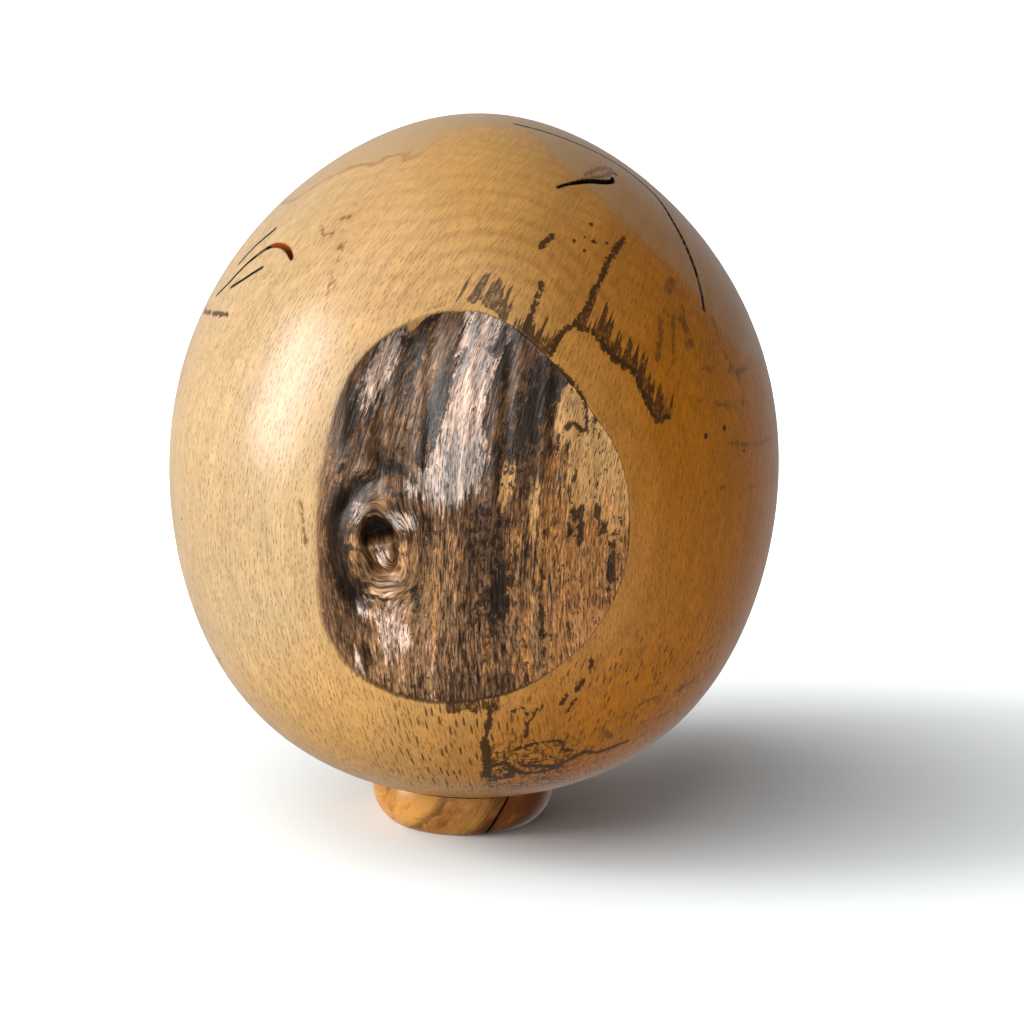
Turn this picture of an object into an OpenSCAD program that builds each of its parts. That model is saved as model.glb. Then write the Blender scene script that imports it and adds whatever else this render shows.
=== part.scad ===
// Turned hardwood egg with a window of the natural under-bark surface left on
// its front, leaning slightly in a small dished foot turned from another wood.
// Millimetres, +Z up. The origin is the centre of the foot's base and the
// natural window looks towards -Y.

/* [Egg] */
// Height of the egg from its blunt end to its narrow end
egg_height = 206; // [170:1:240]
// Diameter of the egg at half its height
egg_diameter = 183.6; // [150:0.2:210]
// How far the egg leans to the right in its foot, in degrees
egg_lean = 1.8; // [0:0.1:4]

/* [Natural window] */
// Width of the under-bark window
window_width = 88; // [70:1:104]
// Height of the under-bark window
window_height = 112; // [90:1:124]
// How far the middle of the window lies above half the egg's height
window_rise = 2; // [-8:0.5:8]
// Depth of the natural surface below the turned one along its flush side
window_set_back = 0.9; // [0.6:0.1:2]
// Extra depth of the long hollow down the left of the window
hollow_depth = 6; // [1:0.1:7]
// Width of that hollow
hollow_width = 33; // [16:1:38]
// Distance of the hollow to the left of the window's middle
hollow_offset = 23.5; // [15:0.5:32]
// Height of the ledge where the hollow ends, above the window's middle
ledge_rise = 7; // [0:0.5:14]
// Height of the low mound under the ledge
mound_height = 0.8; // [0:0.1:1.5]
// Height of the long ripples that follow the grain
ripple_height = 0.28; // [0:0.02:0.4]
// Spacing of those ripples
ripple_spacing = 7; // [5:0.5:12]

/* [Knot] */
// Distance of the knot to the left of the window's middle
knot_offset = 26; // [20:0.5:30]
// Distance of the knot below the window's middle
knot_drop = 10; // [4:0.5:16]
// Width of the knot's raised ring
knot_width = 18; // [14:0.5:20]
// Height of the knot's raised ring
knot_height = 25; // [16:0.5:28]
// How far the raised ring stands up from the surface around it
knot_ring_rise = 1.9; // [0.5:0.1:2.5]
// Depth of the groove round the knot on its left side
knot_groove_depth = 3.8; // [1:0.1:4]
// Depth of the shallow pan that the knot stands in
knot_pan_depth = 1.8; // [0.5:0.1:2.5]
// Depth of the hole at the heart of the knot
knot_hole_depth = 7; // [3:0.5:9]
// Width of that hole
knot_hole_width = 8.4; // [6:0.2:10]

/* [Drying cracks] */
// Opening of the long crack over the right shoulder
long_crack_gap = 1.4; // [0.8:0.1:1.6]
// Opening of the short crack beside the small knot
short_crack_gap = 2; // [0.8:0.1:2.4]
// Opening of the hooked crack on the left shoulder
hooked_crack_gap = 1.7; // [0.8:0.1:2.4]
// Opening of the two fine cracks beside the hooked one
fine_crack_gap = 0.6; // [0.5:0.1:1]
// Depth of the wide cracks at their middle
crack_depth = 9; // [5:0.5:14]
// Depth of the two fine cracks at their middle
fine_crack_depth = 4.5; // [3:0.5:8]

/* [Foot] */
// Widest diameter of the foot
foot_diameter = 55.4; // [50:0.2:60]
// Diameter of the foot's base
foot_base_diameter = 45.5; // [40:0.5:47]
// Height of the widest part of the foot above its base
foot_belly_height = 9.5; // [7:0.5:11]
// Thickness of wood left under the bottom of the dish
foot_core = 10; // [8:0.5:12]
// Height of the foot's rim above the bottom of the dish
rim_rise = 3.1; // [2:0.1:3.4]
// Gap between the egg and its dish
seat_gap = 0.3; // [0.2:0.05:0.5]
// Opening of the crack in the foot
foot_crack_gap = 1; // [0.6:0.1:1.6]
// Depth of the crack in the foot
foot_crack_depth = 9; // [5:0.5:14]
// How far the crack in the foot slants from upright, in degrees
foot_crack_slant = 30; // [20:1:45]

/* [Hidden] */
profile_steps = 64;     // bands of the turned egg from end to end
turn_sides = 120;       // sides of a turned shape when it is drawn as a mesh
window_rings = 28;      // rings of the window's relief
window_spokes = 132;    // spokes of the window's relief
least_depth = 0.35;     // the natural surface never comes closer to the turned one
crack_lead = 3;         // how far a crack's cutter starts outside the wood
crack_tip_gap = 0.12;   // opening of a crack at its ends
crack_tip_depth = 0.8;  // depth of a crack at its ends
foot_crack_place = 0.24; // share of the foot's radius that its crack lies to the right

egg_radius = egg_diameter / 2;
window_z = egg_height / 2 + window_rise;
pole_z = foot_core + seat_gap;

// ---- the egg's turned outline ----
// Radius at t, from -1 at the blunt end to 1 at the narrow one. The three
// small terms shift the belly down, fill the ends and make the lower end blunt.
belly_shift = -0.033;
end_fullness = 0.033;
blunt_end = -0.12;
function fullness(t) = 1 + belly_shift * t + end_fullness * t * t + blunt_end * t * t * t;
function egg_r(t) = egg_radius * sqrt(max(0, 1 - t * t)) * fullness(t);
function height_share(z) = max(-1, min(1, 2 * z / egg_height - 1));
// Radius of the ball that fits the blunt end, which the foot is dished to
end_ball = pow(egg_radius * fullness(-1), 2) / (egg_height / 2);

// Outward normal and point of the turned surface, at an azimuth from the front
// and a latitude
function egg_normal(az, lat) =
    let (d = 0.5, below = egg_r(sin(lat - d)), above = egg_r(sin(lat + d)))
    let (rise = egg_height / 2 * (sin(lat + d) - sin(lat - d)))
    let (n = [rise * sin(az), -rise * cos(az), below - above])
    n / norm(n);
function egg_point(az, lat) =
    let (r = egg_r(sin(lat)))
    [r * sin(az), -r * cos(az), egg_height / 2 * (1 + sin(lat))];

// ---- the natural window ----
// Share of a plain oval that the window's rim reaches, at equal angles
// anticlockwise from the right
rim_shares = [1, 0.97, 0.9, 0.91, 1, 1.04, 1.06, 1, 1, 1.04, 1.14, 1.09, 0.99, 0.97, 1, 1.02];
// Width of the slope just inside the rim, at the same angles: soft on the
// left, crisp at the upper right
rim_slopes = [1.6, 1.4, 1.2, 1.2, 1.6, 2.2, 4, 7, 6, 5.5, 4, 3, 2, 1.6, 1.6, 1.6];

// Smooth closed curve through a list of values at equal angles
function around(values, angle) =
    let (n = len(values), s = ((angle % 360 + 360) % 360) / 360 * n, i = floor(s), f = s - i)
    smooth(values[(i + n - 1) % n], values[i % n], values[(i + 1) % n], values[(i + 2) % n], f);
// Smooth step from b to c, with a before and d after them
function smooth(a, b, c, d, f) =
    b + 0.5 * f * (c - a + f * (2 * a - 5 * b + 4 * c - d + f * (3 * (b - c) + d - a)));
function window_reach(angle) =
    around(rim_shares, angle)
        / norm([2 * cos(angle) / window_width, 2 * sin(angle) / window_height]);

// Depth of the natural surface, x to the right and z above the window's middle
function bell(q) = exp(-q * q);
function step_up(q) = 1 / (1 + exp(-2 * q));
function hollow(x, z) =
    let (ledge = ledge_rise + 0.012 * pow(x + 4, 2), middle = hollow_offset - 0.12 * z)
    hollow_depth * bell(2 * (x + middle) / hollow_width) * step_up((z - ledge) / 3) * step_up((52 - z) / 7);
function mound(x, z) = mound_height * bell(norm([(x + 6) / 18, (z + 4) / 10]));
// The knot: a raised ring in a pan, with a groove on its left
function knot_ring(x, z) =
    let (u = x + knot_offset, v = z + knot_drop)
    let (q = norm([2 * u / knot_width, 2 * v / knot_height]))
    let (left = 0.15 + 0.85 * step_up((-u - 3) / 2.5))
    knot_pan_depth * bell(q / 1.9) + knot_groove_depth * left * bell((q - 1.42) / 0.3)
    - knot_ring_rise * bell((q - 1) / 0.4) + 0.35 * cos(680 * (q - 1)) * bell((q - 1.6) / 1.2);
// Its heart: a hole at the top, and a tongue of wood below with a crease round it
function knot_hole(x, z) =
    let (u = x + knot_offset, v = z + knot_drop, r = knot_hole_width / 2)
    let (p = norm([(u + 0.2 * v - 0.2) / (1.2 * r), (v - 0.8) / (2.3 * r)]))
    let (mouth = step_up((1 - p) / 0.12) * step_up(v - 2) * step_up((8.4 - v) / 0.5))
    let (crease = bell((p - 0.9) / 0.16) * step_up(2 - v))
    knot_hole_depth * (mouth + crease / 3);
function ripples(x, z) =
    let (turn = 360 / ripple_spacing, w = x - 0.05 * z + 1.6 * sin(2.2 * z))
    ripple_height * (sin(turn * w + 40) + 0.7 * sin(0.6 * turn * w + 2.6 * z + 110)
        + 0.5 * sin(1.6 * turn * w - 1.4 * z + 200));
function relief(x, z) = max(least_depth,
    window_set_back + hollow(x, z) - mound(x, z) + knot_ring(x, z) + knot_hole(x, z) + ripples(x, z));

// Inside the rim the relief grows from nothing; outside it the cutter rises
// clear of the turned surface
function window_point(angle, share) =
    let (reach = window_reach(angle), slope = around(rim_slopes, angle))
    let (inside = reach * (1 - share), x = share * reach * cos(angle), z = share * reach * sin(angle))
    let (depth = inside < 0 ? inside * window_set_back / slope : relief(x, z) * (1 - exp(-inside / slope)))
    let (r = egg_r(height_share(window_z + z)))
    [x, depth - sqrt(r * r - x * x), window_z + z];

// Closed cutter: the relief, and a cone from its border to a point in front.
// The rim falls halfway between the last two rings.
module window_cutter() {
    shares = [for (i = [1:window_rings]) (i - 0.5) / (window_rings - 1)];
    relief_points = [for (s = shares) for (k = [0:window_spokes - 1])
        window_point(360 * k / window_spokes, s)];
    middle = len(relief_points);
    border = (window_rings - 1) * window_spokes;
    spokes = [0:window_spokes - 1];
    function next(k) = (k + 1) % window_spokes;
    polyhedron(
        points = concat(relief_points, [window_point(0, 0), [0, -3 * egg_radius, window_z]]),
        faces = concat(
            [for (k = spokes) [middle, k, next(k)]],
            [for (row = [0:window_spokes:border - 1]) for (k = spokes)
                [row + k, row + window_spokes + k, row + next(k)]],
            [for (row = [0:window_spokes:border - 1]) for (k = spokes)
                [row + window_spokes + k, row + window_spokes + next(k), row + next(k)]],
            [for (k = spokes) [border + k, middle + 1, border + next(k)]]));
}

// ---- the drying cracks ----
// Routes as azimuth and latitude in degrees
long_crack = [[46, 81.4], [62, 76], [74.5, 68], [80, 61.5], [80.5, 57.5], [78.5, 52.5], [72, 47.4],
    [67, 42.3], [62.5, 37], [58, 31.7]];
short_crack = [[29, 58.8], [33, 59.3], [38, 59.6], [45.5, 59.6], [52, 59], [58, 58.7], [61, 59.5]];
hooked_crack = [[-53, 39.4], [-56.5, 40.6], [-61, 41], [-66, 40], [-71, 36.4], [-75, 31.8],
    [-79, 28.5]];
upper_fine_crack = [[-71, 43.2], [-73, 41], [-75, 38.5], [-77, 35]];
lower_fine_crack = [[-62.5, 36.4], [-65, 35], [-68, 33.2], [-72, 31.2]];

// Point at a share of the way along a route, on a smooth curve through it
function along(route, share) =
    let (n = len(route) - 1, s = max(0, min(share, 1)) * n, i = min(floor(s), n - 1))
    smooth(route[max(i - 1, 0)], route[i], route[i + 1], route[min(i + 2, n)], s - i);

// Wedge that follows a route over the egg: widest at the share `widest` of its
// way, closing to almost nothing at both ends
module crack_cutter(route, gap, depth, widest = 0.5, stations = 22) {
    function swell(s) = pow(sin(180 * pow(s, ln(0.5) / ln(widest))), 0.7);
    slices = [for (i = [0:stations])
        let (s = i / stations, p = along(route, s))
        let (ahead = along(route, s + 0.01), back = along(route, s - 0.01))
        let (here = egg_point(p[0], p[1]), n = egg_normal(p[0], p[1]))
        let (run = egg_point(ahead[0], ahead[1]) - egg_point(back[0], back[1]))
        let (side = cross(n, run) / norm(run))
        let (open = crack_tip_gap + (gap - crack_tip_gap) * swell(s))
        let (deep = crack_tip_depth + (depth - crack_tip_depth) * swell(s))
        let (mouth = open * (1 + crack_lead / deep) / 2)
        [here + crack_lead * n + mouth * side, here + crack_lead * n - mouth * side, here - deep * n]];
    last = 3 * stations;
    polyhedron(points = [for (slice = slices) for (p = slice) p], faces = concat(
        [[0, 1, 2], [last + 2, last + 1, last]],
        [for (i = [0:3:last - 3]) for (k = [0:2]) [i + k, i + 3 + k, i + 3 + (k + 1) % 3]],
        [for (i = [0:3:last - 3]) for (k = [0:2]) [i + k, i + 3 + (k + 1) % 3, i + (k + 1) % 3]]));
}

module turned_egg() {
    rotate_extrude($fn = turn_sides)
        polygon([for (i = [0:profile_steps])
            let (t = -cos(180 * i / profile_steps)) [egg_r(t), egg_height / 2 * (1 + t)]]);
}

module egg() {
    color("burlywood") rotate([0, egg_lean, 0]) translate([0, 0, pole_z]) difference() {
        turned_egg();
        window_cutter();
        crack_cutter(long_crack, long_crack_gap, crack_depth, 0.75, 40);
        crack_cutter(short_crack, short_crack_gap, crack_depth, 0.65);
        crack_cutter(hooked_crack, hooked_crack_gap, crack_depth, 0.2, 30);
        crack_cutter(upper_fine_crack, fine_crack_gap, fine_crack_depth);
        crack_cutter(lower_fine_crack, fine_crack_gap, fine_crack_depth);
    }
}

// ---- the foot ----
foot_radius = foot_diameter / 2;
base_inset = foot_radius - foot_base_diameter / 2;
// Radius of the round wall that is upright at the belly and meets the base
wall_round = (pow(base_inset, 2) + pow(foot_belly_height, 2)) / (2 * base_inset);
wall_low = -asin(foot_belly_height / wall_round);
wall_high = 50;
wall_steps = 16;

module foot() {
    color("peru") difference() {
        rotate_extrude($fn = turn_sides)
            polygon(concat([[0, 0]],
                [for (i = [0:wall_steps]) let (a = wall_low + (wall_high - wall_low) * i / wall_steps)
                    [foot_radius - wall_round * (1 - cos(a)), foot_belly_height + wall_round * sin(a)]],
                [[0, foot_belly_height + wall_round * sin(wall_high)]]));
        rotate([0, egg_lean, 0]) {
            translate([-foot_diameter, -foot_diameter, foot_core + rim_rise])
                cube(2 * foot_diameter);
            translate([0, 0, pole_z + end_ball]) sphere(end_ball + seat_gap, $fn = 3 * turn_sides);
        }
        foot_crack();
    }
}

// One slanting crack in the foot's front, open at the wall and closed inside
module foot_crack() {
    mouth = foot_crack_gap * (foot_radius + foot_crack_depth) / foot_crack_depth;
    translate([foot_crack_place * foot_radius, 0, 0]) rotate([0, foot_crack_slant, 0])
        linear_extrude(2 * foot_radius, center = true)
            polygon([[-mouth / 2, -2 * foot_radius],
                [mouth / 2, -2 * foot_radius],
                [0, foot_crack_depth - foot_radius]]);
}

egg();
foot();
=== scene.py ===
"""The finish of a turned hardwood egg that rests in a small dished foot.

The egg keeps a window of the natural surface that lay under the bark, with a
knot in it, and a few drying cracks. Shapes are worked out in millimetres with
the egg upright on its blunt end, and are placed in the frame at the end.
"""

import math
from types import SimpleNamespace

import bmesh
import bpy
import numpy as np
from mathutils import Matrix, Vector


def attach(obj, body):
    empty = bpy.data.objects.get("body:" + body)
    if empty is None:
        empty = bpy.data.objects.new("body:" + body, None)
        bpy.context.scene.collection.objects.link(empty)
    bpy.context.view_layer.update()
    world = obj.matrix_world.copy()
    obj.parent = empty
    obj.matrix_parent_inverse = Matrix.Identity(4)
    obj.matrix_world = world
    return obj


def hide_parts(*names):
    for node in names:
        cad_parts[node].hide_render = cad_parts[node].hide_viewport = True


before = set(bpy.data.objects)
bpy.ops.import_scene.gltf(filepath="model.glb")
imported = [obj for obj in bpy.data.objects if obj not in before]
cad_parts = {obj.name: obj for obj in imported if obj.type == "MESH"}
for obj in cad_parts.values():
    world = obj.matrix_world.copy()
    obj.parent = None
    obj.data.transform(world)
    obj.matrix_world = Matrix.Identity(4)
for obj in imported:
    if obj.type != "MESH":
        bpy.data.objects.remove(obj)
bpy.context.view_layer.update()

bl_info = {
    "name": "Turned Wooden Egg",
    "version": (1, 0, 0),
    "blender": (4, 5, 0),
    "location": "3D View > Sidebar > Wooden Egg",
    "description": "Builds the wood, the natural window, the foot and the stage of a turned egg",
    "category": "Object",
}

MM = 0.001
BODY = "root"


# ---------------------------------------------------------------- settings

def length(name, description, millimetres):
    """A length that the user can change, stored in metres."""
    return bpy.props.FloatProperty(
        name=name, description=description, default=millimetres * MM, unit="LENGTH")


def angle(name, description, degrees):
    """An angle that the user can change, stored in radians."""
    return bpy.props.FloatProperty(
        name=name, description=description, default=math.radians(degrees), unit="ROTATION")


def share(name, description, value):
    """A plain number from 0 to 1."""
    return bpy.props.FloatProperty(
        name=name, description=description, default=value, min=0, max=1, subtype="FACTOR")


def strength(name, description, value):
    """A plain number of nought or more."""
    return bpy.props.FloatProperty(name=name, description=description, default=value, min=0)


def colour(name, description, red, green, blue):
    """A colour given as it looks on a screen, from 0 to 255, and stored as light."""
    light = [(c / 255 / 12.92) if c < 10.3 else ((c / 255 + 0.055) / 1.055) ** 2.4
             for c in (red, green, blue)]
    return bpy.props.FloatVectorProperty(
        name=name, description=description, default=light, size=3, min=0, max=1, subtype="COLOR")


class EggShape(bpy.types.PropertyGroup):
    """Sizes of the turned egg and its natural window."""
    height: length("Height", "Height of the egg from end to end", 206)
    diameter: length("Diameter", "Diameter of the egg at half its height", 183.6)
    lean: angle("Lean", "How far the egg leans to the right in its foot", 1.8)
    pole: length("Pole", "Height of the egg's lower end above the floor", 10.3)
    window_width: length("Window width", "Width of the natural window", 88)
    window_height: length("Window height", "Height of the natural window", 112)
    window_rise: length("Window rise", "Height of the window's middle above the egg's", 2)
    set_back: length("Set back", "Depth of the natural surface below the turned one", 0.9)
    hollow_depth: length("Hollow depth", "Extra depth of the hollow on the left", 6)
    hollow_width: length("Hollow width", "Width of that hollow", 33)
    hollow_offset: length("Hollow offset", "Distance of the hollow from the window's middle", 23.5)
    ledge_rise: length("Ledge rise", "Height of the ledge where the hollow ends", 7)
    mound_height: length("Mound height", "Height of the low mound under the ledge", 0.8)
    ripple_height: length("Ripple height", "Height of the ripples along the grain", 0.28)
    ripple_spacing: length("Ripple spacing", "Spacing of those ripples", 7)
    fibre_height: length("Fibre height", "Height of the raised fibres in the window", 0.5)
    fibre_spacing: length("Fibre spacing", "Spacing of those fibres", 1.5)
    knot_offset: length("Knot offset", "Distance of the knot to the left of the middle", 26)
    knot_drop: length("Knot drop", "Distance of the knot below the middle", 10)
    knot_width: length("Knot width", "Width of the knot's raised ring", 18)
    knot_height: length("Knot height", "Height of the knot's raised ring", 25)
    knot_ring_rise: length("Ring rise", "How far the raised ring stands up", 1.9)
    knot_groove_depth: length("Groove depth", "Depth of the groove round the knot", 3.8)
    knot_pan_depth: length("Pan depth", "Depth of the shallow pan that the knot stands in", 1.8)
    knot_hole_depth: length("Hole depth", "Depth of the hole in the knot", 7)
    knot_hole_width: length("Hole width", "Width of the hole in the knot", 8.4)


class CrackSizes(bpy.types.PropertyGroup):
    """Openings and depths of the drying cracks."""
    long_gap: length("Long crack", "Opening of the crack over the right shoulder", 1.4)
    short_gap: length("Short crack", "Opening of the crack beside the small knot", 2)
    hooked_gap: length("Hooked crack", "Opening of the crack on the left shoulder", 1.7)
    fine_gap: length("Fine cracks", "Opening of the two fine cracks", 0.6)
    depth: length("Depth", "Depth of the wide cracks", 9)
    fine_depth: length("Fine depth", "Depth of the fine cracks", 4.5)
    foot_gap: length("Foot crack", "Opening of the crack in the foot", 1)
    foot_depth: length("Foot crack depth", "Depth of the crack in the foot", 9)
    foot_slant: angle("Foot crack slant", "How far that crack slants from upright", 30)


class FootShape(bpy.types.PropertyGroup):
    """Sizes of the dished foot."""
    diameter: length("Diameter", "Widest diameter of the foot", 55.4)
    base_diameter: length("Base", "Diameter of the foot's base", 45.5)
    belly_height: length("Belly height", "Height of the foot's widest part", 9.5)
    core: length("Core", "Wood left under the bottom of the dish", 10)
    rim_rise: length("Rim rise", "Height of the rim above the bottom of the dish", 3.1)
    seat_gap: length("Seat gap", "Gap between the egg and its dish", 0.3)


class WoodColours(bpy.types.PropertyGroup):
    """Colours of the woods."""
    honey: colour("Honey", "Clear wood on the light side", 168, 140, 101)
    gold: colour("Gold", "Clear wood in the middle", 182, 137, 75)
    amber: colour("Amber", "Warmer wood on the right", 168, 100, 8)
    fleck: colour("Fleck", "Short ray flecks", 112, 66, 22)
    # Grey: the colour of the painted reflection, a sheen painted over the top of the egg
    grey: colour("Grey", "Smooth grey-brown wood near the top", 158, 130, 94)
    spalt: colour("Spalting", "Dark lines and flames of spalting", 60, 36, 12)
    bark_brown: colour("Under-bark brown", "Main colour of the natural window", 106, 73, 44)
    # Under-bark dark: the darkest bark, and the colour of painted shade in the left hollow, the
    # knot's groove and hole, and the cracks
    bark_dark_and_shade: colour("Under-bark dark", "Darkest streaks of the window", 25, 19, 15)
    bark_tan: colour("Under-bark tan", "Warm streaks of the window", 154, 113, 74)
    # Under-bark pale: pale fibres, and the colour of painted highlights in the window
    bark_pale_and_highlight: colour("Under-bark pale", "Palest streaks of the window", 202, 168, 147)
    # Under-bark grey: painted sheen, the grey gloss of dark fibres painted as colour
    bark_grey_sheen: colour("Under-bark grey", "Grey streaks of the window", 142, 132, 124)
    rust: colour("Rust", "Orange stain on the widest crack wall", 176, 84, 26)
    foot_light: colour("Foot light", "Light figure of the foot", 206, 146, 72)
    foot_dark: colour("Foot dark", "Dark figure of the foot", 134, 70, 20)


class StageSettings(bpy.types.PropertyGroup):
    """Camera and light."""
    distance: length("Distance", "Distance from the camera to the egg's middle", 1124)
    elevation: angle("Elevation", "How far the camera looks down", 13)
    lens: bpy.props.FloatProperty(name="Lens", description="Focal length", default=130.84,
                                  unit="CAMERA")
    key_power: strength("Key", "Power of the tall soft light on the left, in watts", 28.3)
    fill_power: strength("Fill", "Power of the broad soft light above the camera, in watts", 57.5)
    world_light: strength("World", "Brightness of the surroundings", 0.13)
    back_light: strength("Behind", "Brightness of the surroundings behind the egg", 0.55)
    floor_tone: share("Floor", "Paleness of the floor", 0.86)
    # Floor glow: painted light on the floor away from the egg
    floor_glow: share("Floor glow", "How much the floor glows far from the egg", 0.95)


def working_units(group):
    """A group's values as plain numbers: millimetres, degrees, and the rest as set."""
    scale = {"LENGTH": 1 / MM, "ROTATION": 180 / math.pi}
    rna = group.bl_rna.properties
    return SimpleNamespace(**{
        key: getattr(group, key) * scale[rna[key].unit] if rna[key].unit in scale
        else getattr(group, key) for key in type(group).__annotations__})


# ---------------------------------------------------------------- the egg's form

# Terms that turn a sphere into the egg: the belly's place, the fuller ends and
# the blunt lower end
BELLY_SHIFT = -0.033
END_FULLNESS = 0.033
BLUNT_END = -0.12

# Share of a plain oval that the window's rim reaches, and the width of the slope
# inside it, at equal angles anticlockwise from the right
RIM_SHARES = [1, 0.97, 0.9, 0.91, 1, 1.04, 1.06, 1, 1, 1.04, 1.14, 1.09, 0.99, 0.97, 1, 1.02]
RIM_SLOPES = [1.6, 1.4, 1.2, 1.2, 1.6, 2.2, 4, 7, 6, 5.5, 4, 3, 2, 1.6, 1.6, 1.6]
LEAST_DEPTH = 0.35

# Routes over the egg, as azimuth from the front and latitude in degrees
LONG_CRACK = [(46, 81.4), (62, 76), (74.5, 68), (80, 61.5), (80.5, 57.5), (78.5, 52.5),
              (72, 47.4), (67, 42.3), (62.5, 37), (58, 31.7)]
SHORT_CRACK = [(29, 58.8), (33, 59.3), (38, 59.6), (45.5, 59.6), (52, 59), (58, 58.7), (61, 59.5)]
HOOKED_CRACK = [(-53, 39.4), (-56.5, 40.6), (-61, 41), (-66, 40), (-71, 36.4), (-75, 31.8),
                (-79, 28.5)]
UPPER_FINE_CRACK = [(-71, 43.2), (-73, 41), (-75, 38.5), (-77, 35)]
LOWER_FINE_CRACK = [(-62.5, 36.4), (-65, 35), (-68, 33.2), (-72, 31.2)]
CRACK_TIP_GAP = 0.12
CRACK_TIP_DEPTH = 0.8
# Share of the foot's radius that its crack lies to the right
FOOT_CRACK_PLACE = 0.24
# How far the grain bends to the right: terms in the height, its square and its cube
BEND, BEND_2, BEND_3 = 0.06, 0.00275, 0.00001

# Route over the right shoulder that a dark line and its flames share
SHOULDER_ROUTE = [(20.4, 32), (24.8, 30.2), (26.8, 27.5), (29.1, 25.5), (31.5, 24.3),
                  (32.7, 21.1), (33.8, 18.7), (35.2, 16.1), (38.1, 16.2)]
# Dark spalting lines: half width in millimetres, strength, route
SPALT_LINES = [
    (0.45, 1.0, [(42.8, 46.7), (36.8, 44.2), (31.5, 41.1), (26.7, 37.2), (22.9, 34), (20, 31.9),
                 (16.8, 30.3), (14.2, 27.2)]),
    (0.5, 0.95, [(14.1, 39.1), (12.4, 36.3), (11, 33.7), (9.8, 31.6), (9, 29.6)]),
    (0.3, 1.3, [(19.8, 48.1), (15.8, 46)]),
    (0.6, 0.85, SHOULDER_ROUTE),
    (0.3, 1.0, [(15.2, 25.3), (17.8, 22.9), (19.6, 21.1), (20.5, 19), (20.4, 15.5), (19.6, 14.9),
                (18.1, 16.1), (16.3, 15.6), (14.9, 13.8), (14.5, 12.3)]),
    (0.5, 1.0, [(4.7, -31.3), (4.3, -36.9), (3.9, -40.6)]),
    (0.9, 1.0, [(3.9, -40.6), (5.2, -47), (5.5, -52.4)]),
    (0.5, 1.0, [(5.3, -49.2), (9.6, -47.4), (12.8, -50.2), (17.4, -51.8), (23.2, -50.9),
                (24.8, -49.6), (26.9, -48.1), (29.2, -45.8), (33.3, -46.8), (37.4, -46),
                (42.3, -44.9)]),
    (0.7, 1.0, [(12.8, -50.2), (11, -53.4), (6.7, -52.5)]),
    (0.5, 0.95, [(14.1, -48.4), (19.1, -49.2), (24, -50.2)]),
    (0.3, 0.9, [(9.2, -33.4), (10.9, -32.4), (12.4, -34.1), (13.7, -33), (15.2, -32.2)]),
    (0.3, 0.9, [(14.7, -33.1), (13, -35.3), (12.7, -37), (12.8, -39.2)]),
    (0.35, 0.9, [(11.2, -43.3), (14.4, -42), (18.5, -41.4), (21.5, -41.7), (23.1, -44),
                 (25.1, -44.5)]),
    (0.5, 0.95, [(23.6, -23.2), (23.7, -25.6)]),
    (0.5, 0.9, [(22.6, -27.1), (22.2, -28.3), (21.4, -29.3)]),
    (0.55, 0.95, [(19.9, -30.1), (19.3, -31.6)]),
    (0.3, 0.9, [(22, -31.1), (21.2, -32.3), (20.7, -33.9)]),
    (0.45, 0.9, [(-66, 27), (-74, 26), (-84, 24.8)]),
]
# Softer brown figure in the wood: half width, strength, route
FIGURE_LINES = [
    (0.1, 0.55, [(-16.3, 32.4), (-11.3, 34.1), (-6.1, 36), (0.4, 36.2), (5, 33.2), (7.2, 30.7)]),
    (0.6, 0.8, [(38.2, 25.1), (41.1, 29.9), (47, 35.5), (51.4, 38), (51, 35.1), (49, 30.5),
                (49, 25.8)]),
    (0.6, 0.6, [(42, 24), (45, 30), (48, 32), (47, 26)]),
    (0.6, 0.8, [(38.4, -36.4), (39.4, -34.1), (41.3, -34), (45.1, -34.3), (47.3, -32.9),
                (51.8, -33), (60, -31)]),
    (0.7, 0.8, [(29.7, -38.7), (32.8, -40.8), (34.8, -42.2)]),
    (0.5, 0.7, [(37.4, -39.5), (43.8, -39.9), (47.1, -39.8), (56, -38)]),
    (0.5, 0.7, [(31, -26), (33, -24), (35, -22)]),
    (0.6, 0.7, [(50, -26), (57, -26)]),
    (0.4, 0.7, [(60, 30), (59, 24), (62, 19), (60, 12)]),
    (0.4, 0.8, [(49, 23), (56, 21.5), (68, 20.5)]),
    (0.4, 0.8, [(46, 18), (58, 15.5), (74, 15)]),
    (0.4, 0.8, [(54, 10), (62, 8.5), (73, 8)]),
    (0.4, 0.7, [(47, 4), (60, 1.5), (78, 0)]),
    (0.4, 0.8, [(-48, 49), (-44, 48.5), (-41, 46), (-39, 43), (-38, 41), (-36, 36), (-36, 32)]),
    (0.4, 0.7, [(-47, 53), (-43, 51), (-43, 47), (-47, 45), (-51, 47)]),
    (0.3, 0.8, [(-44, 61), (-43.5, 57.5)]),
    (0.3, 0.8, [(-32.5, 2), (-31.8, -1), (-31, -5)]),
    (0.35, 0.9, [(37.9, 59.6), (47, 60.2), (55.4, 60.3), (65.3, 60.7), (66.2, 61.8), (55.8, 62.2),
                 (47, 61.2)]),
    (0.4, 0.6, [(150, 20), (165, 34), (185, 38), (205, 30), (214, 12)]),
    (0.4, 0.6, [(158, 18), (170, 28), (184, 31), (199, 25), (207, 12)]),
]
# Single dark specks: half width, azimuth, latitude
SPECKS = [(0.5, 34, 50), (0.45, 36, 46), (0.6, 32, 46.5), (0.4, 26, 47), (0.45, 28, 45),
          (0.4, 30, 47.5), (0.6, -70, -8.4), (0.5, -69, -34.3), (0.6, 47, 12), (0.5, 59, 8),
          (0.7, 53, 12.5), (0.9, 66, 60)]
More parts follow.
